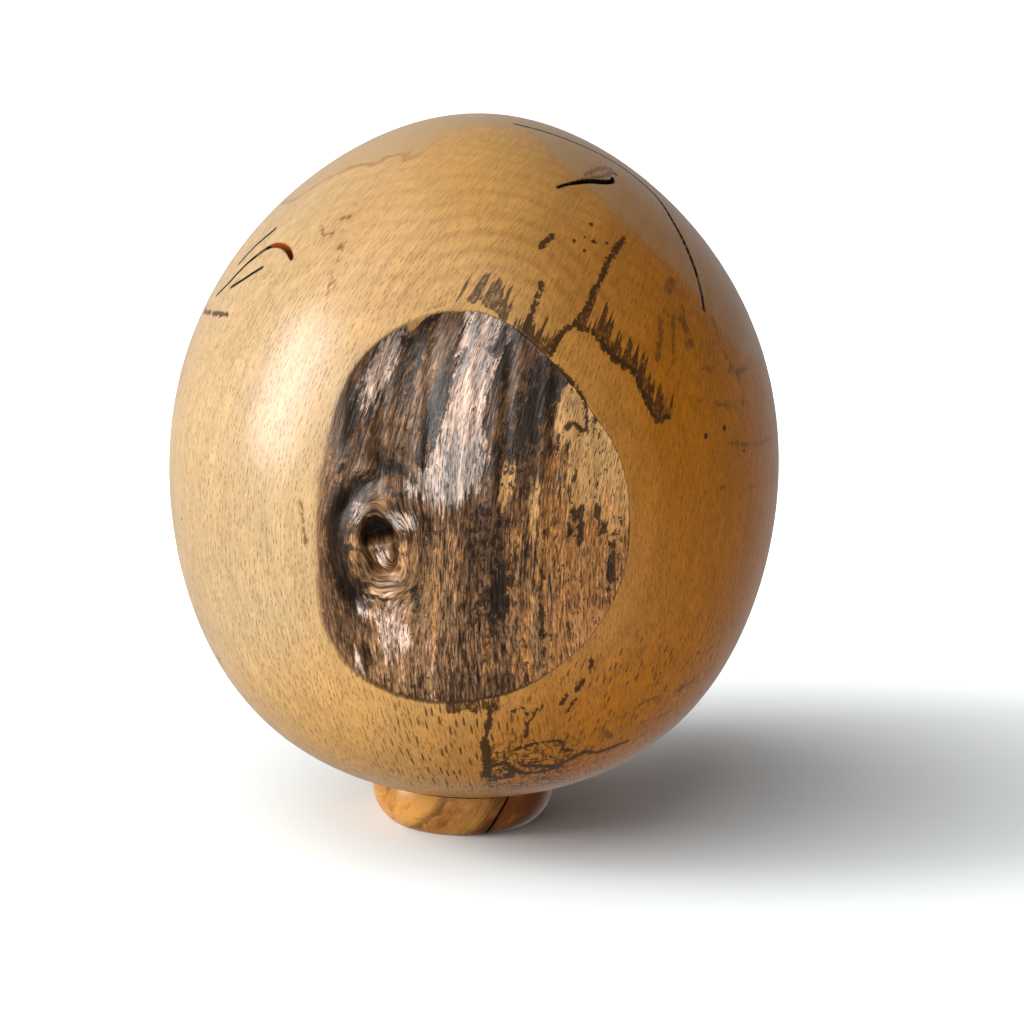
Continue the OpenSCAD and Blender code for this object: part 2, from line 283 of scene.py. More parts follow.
# Spalting that flares up the grain: height of the flames, foot line from left to right
FLAMES = [
    (7, [(-5.5, 35.7), (-2.5, 36.3), (0.8, 36.2), (3.6, 34.9), (5.2, 32.9)]),
    (8, [(6.7, 31.3), (9.1, 30), (11.2, 28.9), (13.8, 27.3)]),
    (7, [(12, 28.5), (15, 28), (17.5, 30), (20, 31)]),
    (8, SHOULDER_ROUTE),
    (6, [(-5, -33), (1, -32.5), (6, -32)]),
]
# Border of the painted reflection round the top, a smooth grey-brown sheen painted over the wood,
# anticlockwise from above
SHEEN_BORDER = [(-130, 42), (-105, 46), (-80, 48), (-72, 55), (-64, 60), (-55, 61), (-50, 66),
               (-40, 64.5), (-35, 67), (-31, 74), (-15, 79), (17, 80), (43, 77), (40, 71), (37, 65),
               (43, 58), (46, 49), (53, 41), (57, 34), (62, 26), (74, 20), (90, 24), (110, 40),
               (140, 55), (170, 52), (200, 46)]

# Tones of the natural window. Each is a soft oval: millimetres across the grain
# and up from the window's middle, half width, half height, weight.
# Pale streaks: partly pale fibres, partly painted highlights where the relief would catch the
# light, along the band, at its lower end, on the left lobe and round the knot
PALE_AND_GLINT_STREAKS = [(-8.5, 33, 5.5, 24, 1), (-7, 17, 8, 8, 1), (-12, 8.5, 8, 4, 0.9),
                (-35, 41, 4.5, 13, 0.7), (-13, 50, 3.5, 9, 0.8), (-4, 48, 2.5, 9, 0.42),
                (-22.5, -34, 5, 11, 0.7), (-12.5, -44, 1.7, 16, 0.3), (-33, -48, 3, 9, 0.45),
                (31, -37, 6, 9, 0.3), (-33.5, 2.5, 2.2, 5, 0.9), (-20, -1, 5, 3.2, 0.8),
                (-24.8, -12.6, 1.8, 3.8, 0.55), (-31, -28, 3, 4.5, 0.7), (18, 40, 2.5, 8, 0.5),
                (-14, 54, 5, 6, 0.7), (-11.5, 44, 4, 11, 0.8), (-37, 33, 4, 8, 0.45)]
TAN_STREAKS = [(34, -4, 12, 34, 1), (-23, -36, 6, 18, 1), (-13, -44, 2, 14, 0.6),
               (-17, -34, 11, 15, 0.55), (-23.5, 35, 4, 15, 0.4), (-41, -9, 1.7, 4, 1),
               (-38.5, -17, 1.8, 5, 1), (-41, 10, 3, 20, 0.4), (8, -36, 24, 20, 0.35),
               (-10, -12, 7, 15, 0.5), (-33.3, -9.5, 1.2, 5, 1), (-28, -19.5, 2.5, 1.5, 0.9),
               (-19.2, -11, 1.2, 5, 0.9), (21, 30, 2, 20, 0.6), (12, -10, 2.5, 22, 0.5),
               (20, 0, 3, 26, 0.6), (-14, -20, 3, 12, 0.45), (19, -36, 8, 17, 0.7)]
CLEAR_STREAKS = [(33, 18, 9, 16, 1.3), (21, 31, 4.5, 9, 1.2), (7.5, 10, 2.6, 8, 0.8),
                 (33, -33, 6, 9, 0.85), (40, 8, 4, 18, 0.9), (24, -46, 6, 6, 0.6),
                 (16, 2, 2, 12, 0.6)]
# Dark streaks: partly dark bark, partly painted shade in the hollow at the window's left, which
# faces away from the light
DARK_AND_SHADE_STREAKS = [(-40.5, 24, 3, 11, 1.1), (-45, 29, 3, 9, 1.2), (4, -27, 4, 8, 0.45),
                (-28, 44, 4, 14, 0.6), (-16.5, 31, 2.9, 16, 1), (-6.5, 50, 1.8, 8, 0.8),
                (3, -2, 6, 8, 0.45), (-2, 45, 3, 14, 0.75), (9.5, 30, 4.5, 18, 0.85),
                (-39.5, -3, 2.5, 12, 1), (8, -21, 3.4, 11, 0.8), (28.5, 1, 1.6, 4, 1),
                (30, -4, 1, 3, 0.9), (34, 2, 1.2, 2.5, 0.9), (36, -3, 1.5, 2, 0.8),
                (26.5, -4, 0.8, 3, 0.8), (39.5, -13, 1.7, 10, 0.8), (19.5, -30, 0.8, 19, 0.8),
                (14, -52, 0.8, 9, 0.8), (28.5, 28, 1, 5, 0.8), (-35.5, -13, 1, 4.5, 0.9),
                (-35, -23, 2, 5, 0.9), (-30.5, -21, 2.5, 1.2, 0.8), (-31, -27, 2, 4, 0.8),
                (-16, -24, 1.5, 5, 0.7), (15, 40, 3, 12, 0.75), (-26, 12, 8, 4, 0.5),
                (3, 16, 2, 8, 0.6), (-12, -4, 2, 6, 0.5), (26, 12, 1, 5, 0.6)]
# Tongues of turned wood that run down over the window's rim
WOOD_TONGUES = [(-31, 53, 1.6, 9, 4), (-21, 60, 2, 4, 2)]


def smooth(a, b, c, d, f):
    """Smooth step from b to c at the share f, with a before and d after them."""
    return b + 0.5 * f * (c - a + f * (2 * a - 5 * b + 4 * c - d + f * (3 * (b - c) + d - a)))


def around(values, degrees):
    """Smooth closed curve through a list of values at equal angles."""
    values = np.asarray(values, float)
    place = (degrees % 360) / 360 * len(values)
    index = np.floor(place).astype(int)
    before, here, after, beyond = (values[(index + k) % len(values)] for k in (-1, 0, 1, 2))
    return smooth(before, here, after, beyond, place - index)


def along(route, shares):
    """Azimuths and latitudes at shares of the way along a smooth curve through a route."""
    route = np.asarray(route, float)
    last = len(route) - 1
    place = np.clip(shares, 0, 1) * last
    index = np.minimum(np.floor(place), last - 1).astype(int)
    before, here, after, beyond = (route[np.clip(index + k, 0, last)] for k in (-1, 0, 1, 2))
    return smooth(before, here, after, beyond, (place - index)[:, None])


def bell(q):
    return np.exp(-q * q)


def step_up(q):
    return 1 / (1 + np.exp(-2 * q))


def fade(value, low, high):
    """Smooth rise from 0 at low to 1 at high."""
    f = np.clip((value - low) / (high - low), 0, 1)
    return f * f * (3 - 2 * f)


def ovals(across, up, streaks):
    """Joint cover of a list of soft ovals, from 0 to 1 or a little more."""
    bare = np.ones_like(across)
    for x, z, half_width, half_height, weight in streaks:
        cover = np.exp(-np.abs((across - x) / half_width) ** 3 - ((up - z) / half_height) ** 2)
        bare *= 1 - np.minimum(weight * cover, 1)
    return 1 - bare


class EggForm:
    """The egg in millimetres, upright with its blunt end at the origin."""

    def __init__(self, sizes, cracks):
        self.s = sizes
        self.middle = sizes.height / 2
        self.window_z = self.middle + sizes.window_rise
        self.cracks = [
            (LONG_CRACK, cracks.long_gap, cracks.depth, 0.75),
            (SHORT_CRACK, cracks.short_gap, cracks.depth, 0.65),
            (HOOKED_CRACK, cracks.hooked_gap, cracks.depth, 0.2),
            (UPPER_FINE_CRACK, cracks.fine_gap, cracks.fine_depth, 0.5),
            (LOWER_FINE_CRACK, cracks.fine_gap, cracks.fine_depth, 0.5)]

    # -- the turned outline

    def radius(self, t):
        full = 1 + BELLY_SHIFT * t + END_FULLNESS * t * t + BLUNT_END * t ** 3
        return self.s.diameter / 2 * np.sqrt(np.maximum(0, 1 - t * t)) * full

    def place(self, directions):
        """Points of the turned surface for directions from the middle of a unit ball."""
        t = np.clip(directions[:, 2], -1, 1)
        flat = np.maximum(np.hypot(directions[:, 0], directions[:, 1]), 1e-9)
        r = self.radius(t) / flat
        return np.column_stack([r * directions[:, 0], r * directions[:, 1], self.middle * (1 + t)])

    def spot(self, route):
        """Points of the turned surface at azimuths and latitudes in degrees."""
        azimuth, latitude = np.radians(np.asarray(route, float)).T
        t = np.sin(latitude)
        r = self.radius(t)
        return np.column_stack([r * np.sin(azimuth), -r * np.cos(azimuth), self.middle * (1 + t)])

    def normal(self, points):
        """Outward normals of the turned surface."""
        t = np.clip(points[:, 2] / self.middle - 1, -0.9999, 0.9999)
        latitude = np.arcsin(t)
        step = math.radians(0.5)
        run = self.radius(np.sin(latitude + step)) - self.radius(np.sin(latitude - step))
        rise = self.middle * (np.sin(latitude + step) - np.sin(latitude - step))
        flat = np.maximum(np.hypot(points[:, 0], points[:, 1]), 1e-9)
        out = np.column_stack([rise * points[:, 0] / flat, rise * points[:, 1] / flat, -run])
        return out / np.linalg.norm(out, axis=1)[:, None]

    # -- the grain

    def bend(self, height):
        """How far the grain has bent to the right at a height above the middle."""
        return BEND * height + BEND_2 * height ** 2 + BEND_3 * height ** 3

    def sway(self, points):
        """How far the grain is pushed aside as it flows round the knot."""
        s = self.s
        knot_z = self.window_z - s.knot_drop
        x = points[:, 0] + s.knot_offset
        x = x - self.bend(points[:, 2] - self.middle) + self.bend(knot_z - self.middle)
        z = (points[:, 2] - knot_z) * s.knot_width / s.knot_height
        core = 0.47 * s.knot_width
        slant = x + 0.25 * z * bell(np.hypot(x, z) / core)
        turn = np.arctan2(z, slant)
        wobble = 1 + 0.09 * np.sin(2 * turn + 0.6) + 0.06 * np.sin(5 * turn + 2)
        away = np.maximum(np.hypot(slant, z) * wobble, 0.01)
        pushed = np.where(away > core, -x * (core / away) ** 2, away - core - x)
        heart = 1 - fade(away, 0.35 * core, 0.7 * core)
        pushed = pushed * (1 - heart) + 0.7 * z * heart
        return np.where(points[:, 1] < 0, pushed * (1 - fade(away, 45, 75)), 0)

    # -- the natural window

    def window_place(self, points):
        """Place of each point in the window: right, up, and distance inside the rim."""
        s = self.s
        x, z = points[:, 0], points[:, 2] - self.window_z
        turn = np.arctan2(z, x)
        degrees = np.degrees(turn)
        oval = np.hypot(2 * np.cos(turn) / s.window_width, 2 * np.sin(turn) / s.window_height)
        inside = around(RIM_SHARES, degrees) / oval - np.hypot(x, z)
        return x, z, np.where(points[:, 1] < 0, inside, -99.0), around(RIM_SLOPES, degrees)

    def hollow(self, x, z):
        s = self.s
        ledge = s.ledge_rise + 0.012 * (x + 4) ** 2
        middle = s.hollow_offset - 0.12 * z
        ends = step_up((z - ledge) / 3) * step_up((52 - z) / 7)
        return s.hollow_depth * bell(2 * (x + middle) / s.hollow_width) * ends

    def mound(self, x, z):
        return self.s.mound_height * bell(np.hypot((x + 6) / 18, (z + 4) / 10))

    def knot_share(self, x, z):
        s = self.s
        return np.hypot(2 * (x + s.knot_offset) / s.knot_width,
                        2 * (z + s.knot_drop) / s.knot_height)

    def knot_groove(self, x, z):
        left = 0.15 + 0.85 * step_up((-x - self.s.knot_offset - 3) / 2.5)
        return left * bell((self.knot_share(x, z) - 1.42) / 0.3)

    def knot_ring(self, x, z):
        s = self.s
        q = self.knot_share(x, z)
        lines = 0.35 * np.cos(np.radians(680) * (q - 1)) * bell((q - 1.6) / 1.2)
        return (s.knot_pan_depth * bell(q / 1.9) + s.knot_groove_depth * self.knot_groove(x, z)
                - s.knot_ring_rise * bell((q - 1) / 0.4) + lines)

    def knot_hole(self, x, z):
        """The hole at the top of the knot's heart, and the crease round the tongue below it."""
        u, v, r = x + self.s.knot_offset, z + self.s.knot_drop, self.s.knot_hole_width / 2
        p = np.hypot((u + 0.2 * v - 0.2) / (1.2 * r), (v - 0.8) / (2.3 * r))
        mouth = step_up((1 - p) / 0.12) * step_up(v - 2 - 0.3 * u) * step_up((8.4 - v) / 0.5)
        crease = bell((p - 0.9) / 0.16) * step_up(2 - v)
        return mouth + crease / 3

    def ripples(self, x, z):
        turn = 2 * math.pi / self.s.ripple_spacing
        w = x - 0.05 * z + 1.6 * np.sin(np.radians(2.2 * z))
        lean = np.radians(z)
        return self.s.ripple_height * (np.sin(turn * w + 0.7)
                                       + 0.7 * np.sin(0.6 * turn * w + 2.6 * lean + 1.9)
                                       + 0.5 * np.sin(1.6 * turn * w - 1.4 * lean + 3.5))

    def relief(self, x, z):
        """Depth of the natural surface below the turned one, away from the rim."""
        depth = (self.s.set_back + self.hollow(x, z) - self.mound(x, z) + self.knot_ring(x, z)
                 + self.s.knot_hole_depth * self.knot_hole(x, z) + self.ripples(x, z))
        return np.maximum(LEAST_DEPTH, depth)

    # -- distances over the surface

    def nearest(self, points, route, reach, samples=40):
        """Distance to a route and share of the way along it, for points closer than reach."""
        shares = np.linspace(0, 1, samples * (len(route) - 1) + 1)
        line = self.spot(along(route, shares))
        distance = np.full(len(points), float(reach))
        part = np.zeros(len(points))
        away = np.zeros((len(points), 3))
        low, high = line.min(0) - reach, line.max(0) + reach
        near = np.flatnonzero(((points > low) & (points < high)).all(1))
        for chunk in np.array_split(near, max(1, len(near) // 4000)):
            gaps = points[chunk, None, :] - line[None]
            squares = (gaps ** 2).sum(2)
            best = squares.argmin(1)
            distance[chunk] = np.minimum(reach, np.sqrt(squares[np.arange(len(chunk)), best]))
            part[chunk] = shares[best]
            away[chunk] = gaps[np.arange(len(chunk)), best]
        return distance, part, away

    def crack_section(self, gap, depth, widest, part):
        """Half width and depth of a crack at a share of its way."""
        swell = np.sin(np.pi * part ** (math.log(0.5) / math.log(widest)))
        swell = np.maximum(0, swell) ** 0.7
        return ((CRACK_TIP_GAP + (gap - CRACK_TIP_GAP) * swell) / 2,
                CRACK_TIP_DEPTH + (depth - CRACK_TIP_DEPTH) * swell)


# ---------------------------------------------------------------- the egg's mesh

# Wanted edge lengths in millimetres, and how fast they grow away from fine detail
COARSE, IN_WINDOW, AT_CRACK, AT_LINE, AT_SPECK, AT_FLAME = 6.5, 0.8, 0.4, 0.85, 0.5, 0.9
GRADING = 0.45
MOST_FACES = 200000
# Distance within which a point snaps onto a crack's edge or its bottom
SNAP = 0.11


def fineness(form, points):
    """Wanted length of the mesh's edges at each point."""
    inside = form.window_place(points)[2]
    wanted = np.full(len(points), COARSE)
    wanted = np.minimum(wanted, IN_WINDOW + GRADING * np.maximum(0, -1.5 - inside))
    for route, gap, _depth, _widest in form.cracks:
        distance = form.nearest(points, route, 14)[0]
        wanted = np.minimum(wanted, AT_CRACK + GRADING * np.maximum(0, distance - gap - 0.4))
    for half_width, _strength, route in SPALT_LINES:
        distance = form.nearest(points, route, 14, 12)[0]
        wanted = np.minimum(wanted, AT_LINE + GRADING * np.maximum(0, distance - half_width - 1))
    for half_width, azimuth, latitude in SPECKS:
        distance = np.linalg.norm(points - form.spot([(azimuth, latitude)]), axis=1)
        wanted = np.minimum(
            wanted, AT_SPECK + GRADING * np.maximum(0, distance - half_width - 0.5))
    for height, route in FLAMES:
        distance = form.nearest(points, route, 26, 8)[0]
        wanted = np.minimum(wanted, AT_FLAME + GRADING * np.maximum(0, distance - height - 1))
    return wanted


def refined_ball(form):
    """Unit ball whose faces are small where the egg has fine detail."""
    ball = bmesh.new()
    bmesh.ops.create_icosphere(ball, subdivisions=3, radius=1)
    bmesh.ops.subdivide_edges(ball, edges=ball.edges[:], cuts=4, use_grid_fill=True)
    for vertex in ball.verts:
        vertex.co.normalize()
    for _ in range(5):
        ball.verts.ensure_lookup_table()
        ball.edges.ensure_lookup_table()
        points = form.place(np.array([v.co[:] for v in ball.verts]))
        wanted = fineness(form, points)
        ends = np.array([[v.index for v in edge.verts] for edge in ball.edges])
        lengths = np.linalg.norm(points[ends[:, 0]] - points[ends[:, 1]], axis=1)
        long = lengths > np.minimum(wanted[ends[:, 0]], wanted[ends[:, 1]])
        if not long.any():
            break
        bmesh.ops.subdivide_edges(ball, edges=[ball.edges[i] for i in np.flatnonzero(long)],
                                  cuts=1)
        bmesh.ops.triangulate(ball, faces=[f for f in ball.faces if len(f.verts) > 3])
        for vertex in ball.verts:
            vertex.co.normalize()
        ball.verts.index_update()
    return ball


def cut_cracks(form, points):
    """Points moved into the V of each crack, how much painted crack shade each point shows, and how
    much rust.
    """
    shade = np.zeros(len(points))
    rust = np.zeros(len(points))
    inward = -form.normal(points)
    moved = points.copy()
    for route, gap, depth, widest in form.cracks:
        distance, part, away = form.nearest(points, route, 6, 80)
        half, deep = form.crack_section(gap, depth, widest, part)
        to_edge = np.where(np.abs(distance - half) < SNAP, half - distance, 0)
        to_edge = np.where(distance < SNAP, -distance, to_edge)
        shift = to_edge / np.maximum(distance, 1e-6)
        moved += away * shift[:, None]
        distance = distance + to_edge
        sunk = deep * np.clip(1 - distance / half, 0, 1)
        moved += inward * sunk[:, None]
        # Painted shade: each crack's walls and a thin border outside it are darkened, at least half
        # a millimetre from its middle
        seen = np.maximum(half, 0.5)
        shade = np.maximum(shade, 1 - fade(distance, seen - 0.05, seen + 0.35))
        if route is HOOKED_CRACK:
            upper = (away * (moved * [0, 0, 1])).sum(1) > 0
            rust = np.where(upper & (part < 0.5), 1 - fade(distance, half, half + 0.5), rust)
    return moved, shade, rust


def figure_shade(form, points, lines):
    """Cover of some lines at each point, before noise breaks them up."""
    cover = np.zeros(len(points))
    for half_width, weight, route in lines:
        distance = form.nearest(points, route, 8, 24)[0]
        cover = np.maximum(cover, weight * np.clip(1 - (distance - half_width) / 1.6, 0, 1.5))
    return cover


def line_shade(form, points):
    """Cover of the spalting lines and specks at each point."""
    cover = figure_shade(form, points, SPALT_LINES)
    for half_width, azimuth, latitude in SPECKS:
        distance = np.linalg.norm(points - form.spot([(azimuth, latitude)]), axis=1)
        cover = np.maximum(cover, np.clip(1 - (distance - half_width) / 0.7, 0, 1.5))
    return cover


def flame_shade(form, points):
    """1 at the foot line of a flame, falling to 0 at its greatest height up the grain."""
    cover = np.zeros(len(points))
    grain_x = points[:, 0] - form.bend(points[:, 2] - form.middle)
    for height, route in FLAMES:
        foot = form.spot(along(route, np.linspace(0, 1, 60)))
        foot_x = foot[:, 0] - form.bend(foot[:, 2] - form.middle)
        order = np.argsort(foot_x)
        foot_z = np.interp(grain_x, foot_x[order], foot[order, 2])
        ends = (fade(grain_x, foot_x.min() - 1.5, foot_x.min() + 2)
                * (1 - fade(grain_x, foot_x.max() - 2, foot_x.max() + 1.5)))
        rise = points[:, 2] - foot_z
        tall = np.where(rise > 0, 1 - rise / height, 1 + rise / 1.6)
        close = (points[:, 1] < 0) & (np.abs(rise) < 2 * height)
        cover = np.maximum(cover, np.where(close, np.clip(tall, 0, 1) * ends, 0))
    return cover


def sheen_depth(form, points):
    """Distance inside the border of the painted grey reflection, negative outside it, up to 14 mm.
    """
    def spread(azimuth, latitude):
        away = np.tan(np.radians(90 - latitude) / 2)
        return away * np.sin(azimuth), away * np.cos(azimuth)

    azimuth, latitude = SHEEN_BORDER[0]
    closed = SHEEN_BORDER + [(azimuth + 360, latitude)]
    border = along(closed, np.linspace(0, 1, 200))
    edge_x, edge_y = spread(np.radians(border[:, 0]), border[:, 1])
    latitude = np.degrees(np.arcsin(np.clip(points[:, 2] / form.middle - 1, -1, 1)))
    x, y = spread(np.arctan2(points[:, 0], -points[:, 1]), latitude)
    turns = np.zeros(len(points), int)
    for i in range(len(edge_x) - 1):
        crosses = (edge_y[i] > y) != (edge_y[i + 1] > y)
        span = edge_y[i + 1] - edge_y[i]
        if span:
            at = edge_x[i] + (y - edge_y[i]) / span * (edge_x[i + 1] - edge_x[i])
            turns += crosses & (x < at)
    distance = form.nearest(points, closed, 14, 12)[0]
    return np.where(turns % 2 == 1, distance, -distance)


def paint(mesh, name, values):
    """Stores one number for each vertex."""
    mesh.attributes.new(name, "FLOAT", "POINT").data.foreach_set("value", values.astype("f"))


def build_egg_mesh(form):
    """The egg with its relief and cracks, upright, and the numbers its finish reads."""
    ball = refined_ball(form)
    turned = form.place(np.array([v.co[:] for v in ball.verts]))
    points, crack, rust = cut_cracks(form, turned)
    x, z, inside, slope = form.window_place(turned)
    reached = np.where(inside > 0, 1 - np.exp(-np.maximum(inside, 0) / slope), 0)
    points[:, 1] += form.relief(x, z) * reached
    mesh = bpy.data.meshes.new("egg_wood")
    ball.to_mesh(mesh)
    ball.free()
    mesh.vertices.foreach_set("co", (points * MM).ravel())
    across = x - form.bend(turned[:, 2] - form.middle)
    tongues = sum(weight * ovals(across, z, [(*oval, 1)]) for *oval, weight in WOOD_TONGUES)
    paint(mesh, "natural", np.clip(inside / (0.35 * slope) - tongues, -3, 3))
    paint(mesh, "sway", form.sway(turned))
    # The pale ovals hold both pale fibres and painted highlights
    for name, streaks in (("pale", PALE_AND_GLINT_STREAKS), ("tan", TAN_STREAKS), ("clear", CLEAR_STREAKS)):
        paint(mesh, name, ovals(across, z, streaks))
    # Painted shade: the groove round the knot is painted dark along with the dark streaks
    paint(mesh, "dark", np.maximum(ovals(across, z, DARK_AND_SHADE_STREAKS),
                                   np.where(inside > 0, form.knot_groove(x, z), 0)))
    # Painted shade: the knot's hole is painted dark
    paint(mesh, "hole", np.where(inside > 0, form.knot_hole(x, z), 0))
    paint(mesh, "line", line_shade(form, turned))
    paint(mesh, "figure", figure_shade(form, turned, FIGURE_LINES))
    paint(mesh, "climb", flame_shade(form, turned))
    # The grey attribute marks the painted reflection over the top
    paint(mesh, "grey", sheen_depth(form, turned))
    # The crack attribute holds the painted shade in and beside the cracks
    paint(mesh, "crack", crack)
    paint(mesh, "rust", rust)
    mesh.shade_smooth()
    mesh.update()
    return mesh


# ---------------------------------------------------------------- node trees

class Field:
    """A socket that carries numbers. Arithmetic on it adds Math nodes to its tree."""

    def __init__(self, graph, socket):
        self.graph = graph
        self.socket = socket

    def __add__(self, other):
        return self.graph.math("ADD", self, other)

    __radd__ = __add__

    def __sub__(self, other):
        return self.graph.math("SUBTRACT", self, other)

    def __rsub__(self, other):
        return self.graph.math("SUBTRACT", other, self)

    def __mul__(self, other):
        return self.graph.math("MULTIPLY", self, other)

    __rmul__ = __mul__

    def __truediv__(self, other):
        return self.graph.math("DIVIDE", self, other)


class Graph:
    """A node tree with short ways to add nodes."""

    def __init__(self, tree):
        self.tree = tree
        self.nodes = tree.nodes

    def node(self, kind, settings=None, inputs=None):
        """Adds a node: its settings first, then the values or links of its sockets."""
        node = self.nodes.new(kind)
        for key, value in (settings or {}).items():
            setattr(node, key, value)
        for key, value in (inputs or {}).items():
            self.feed(node.inputs[key], value)
        return node

    def feed(self, socket, value):
        if isinstance(value, Field):
            self.tree.links.new(value.socket, socket)
        else:
            socket.default_value = value

    def field(self, kind, settings=None, inputs=None, output=0):
        return Field(self, self.node(kind, settings, inputs).outputs[output])

    def math(self, operation, *values):
        return self.field("ShaderNodeMath", {"operation": operation}, dict(enumerate(values)))

    def vector(self, x, y, z):
        return self.field("ShaderNodeCombineXYZ", None, {0: x, 1: y, 2: z})

    def parts(self, vector):
        node = self.node("ShaderNodeSeparateXYZ", None, {0: vector})
        return [Field(self, output) for output in node.outputs]

    def rise(self, value, low, high, bottom=0.0, top=1.0):
        """Smooth rise from bottom where the value is low to top where it is high."""
        return self.field("ShaderNodeMapRange", {"interpolation_type": "SMOOTHSTEP"},
                          {"Value": value, "From Min": low, "From Max": high,
                           "To Min": bottom, "To Max": top})

    def noise(self, place, detail=2.0, roughness=0.5, distortion=0.0):
        return self.field("ShaderNodeTexNoise", {"noise_dimensions": "3D"},
                          {"Vector": place, "Scale": 1.0, "Detail": detail,
                           "Roughness": roughness, "Distortion": distortion})

    def mix(self, factor, under, over, blend="MIX"):
        """Colour over another one by a factor."""
        return self.field("ShaderNodeMix", {"data_type": "RGBA", "blend_type": blend},
                          {0: factor, 6: under, 7: over}, 2)

    def dim(self, colour, shade):
        """A colour multiplied by a shade."""
        return self.mix(1.0, colour, self.vector(shade, shade, shade), "MULTIPLY")

    def dashes(self, place, cell, half):
        """Separate short dashes along the second axis: their cover and a random number each.

        cell is the room of each dash and half its half size, both across, along and through.
        """
        x, y, z = self.parts(place)
        spread = self.vector(x / cell[0], y / cell[1], z / cell[2])
        cells = self.node("ShaderNodeTexVoronoi", {"feature": "F1"},
                          {"Vector": spread, "Scale": 1.0, "Randomness": 0.9})
        gap = self.field("ShaderNodeVectorMath", {"operation": "SUBTRACT"},
                         {0: spread, 1: Field(self, cells.outputs["Position"])})
        dx, dy, _dz = self.parts(gap)
        dx, dy = dx * (cell[0] / half[0]), dy * (cell[1] / half[1])
        size = self.math("SQRT", dx * dx + dy * dy)
        chance = self.parts(Field(self, cells.outputs["Color"]))[0]
        return self.rise(size, 1.15, 0.7), chance


class Finish(Graph):
    """A material for the wood, with its coordinates in millimetres."""

    def __init__(self, name):
        self.material = bpy.data.materials.new(name)
        self.material.use_nodes = True
        super().__init__(self.material.node_tree)
        self.nodes.clear()

    def millimetres(self, turn=0.0, drop=0.0):
        """Object coordinates in millimetres, turned back by an angle and lowered."""
        spot = self.field("ShaderNodeTexCoord", output="Object")
        return self.field("ShaderNodeMapping", None,
                          {"Vector": spot, "Scale": (1 / MM,) * 3, "Rotation": (0, -turn, 0),
                           "Location": (0, 0, -drop)})

    def stored(self, name):
        return self.field("ShaderNodeAttribute", {"attribute_name": name}, None, "Fac")

    def bump(self, height):
        """Normal bent by a height in millimetres."""
        return self.field("ShaderNodeBump", None,
                          {"Height": height, "Distance": MM, "Strength": 1.0})

    def shade(self, constants, fields):
        """Ends the tree in a Principled shader: constants on its sockets, then what varies."""
        shader = self.node("ShaderNodeBsdfPrincipled", None, {**constants, **fields})
        output = self.node("ShaderNodeOutputMaterial")
        self.tree.links.new(shader.outputs[0], output.inputs[0])
        return self.material


def opaque(rgb):
    return (*rgb, 1.0)


# ---------------------------------------------------------------- the woods

WOOD_IOR = 1.45
# The growth rings: the pith's place, the radius at which arcs are measured, their spacing
PITH_X, PITH_BACK = 8.0, 200.0
FRONT_RADIUS = 280.0
RING_SPACING = 4.3
# Middle of the hooped rings over the window
HOOP_X, HOOP_Z = 2.0, 46.0


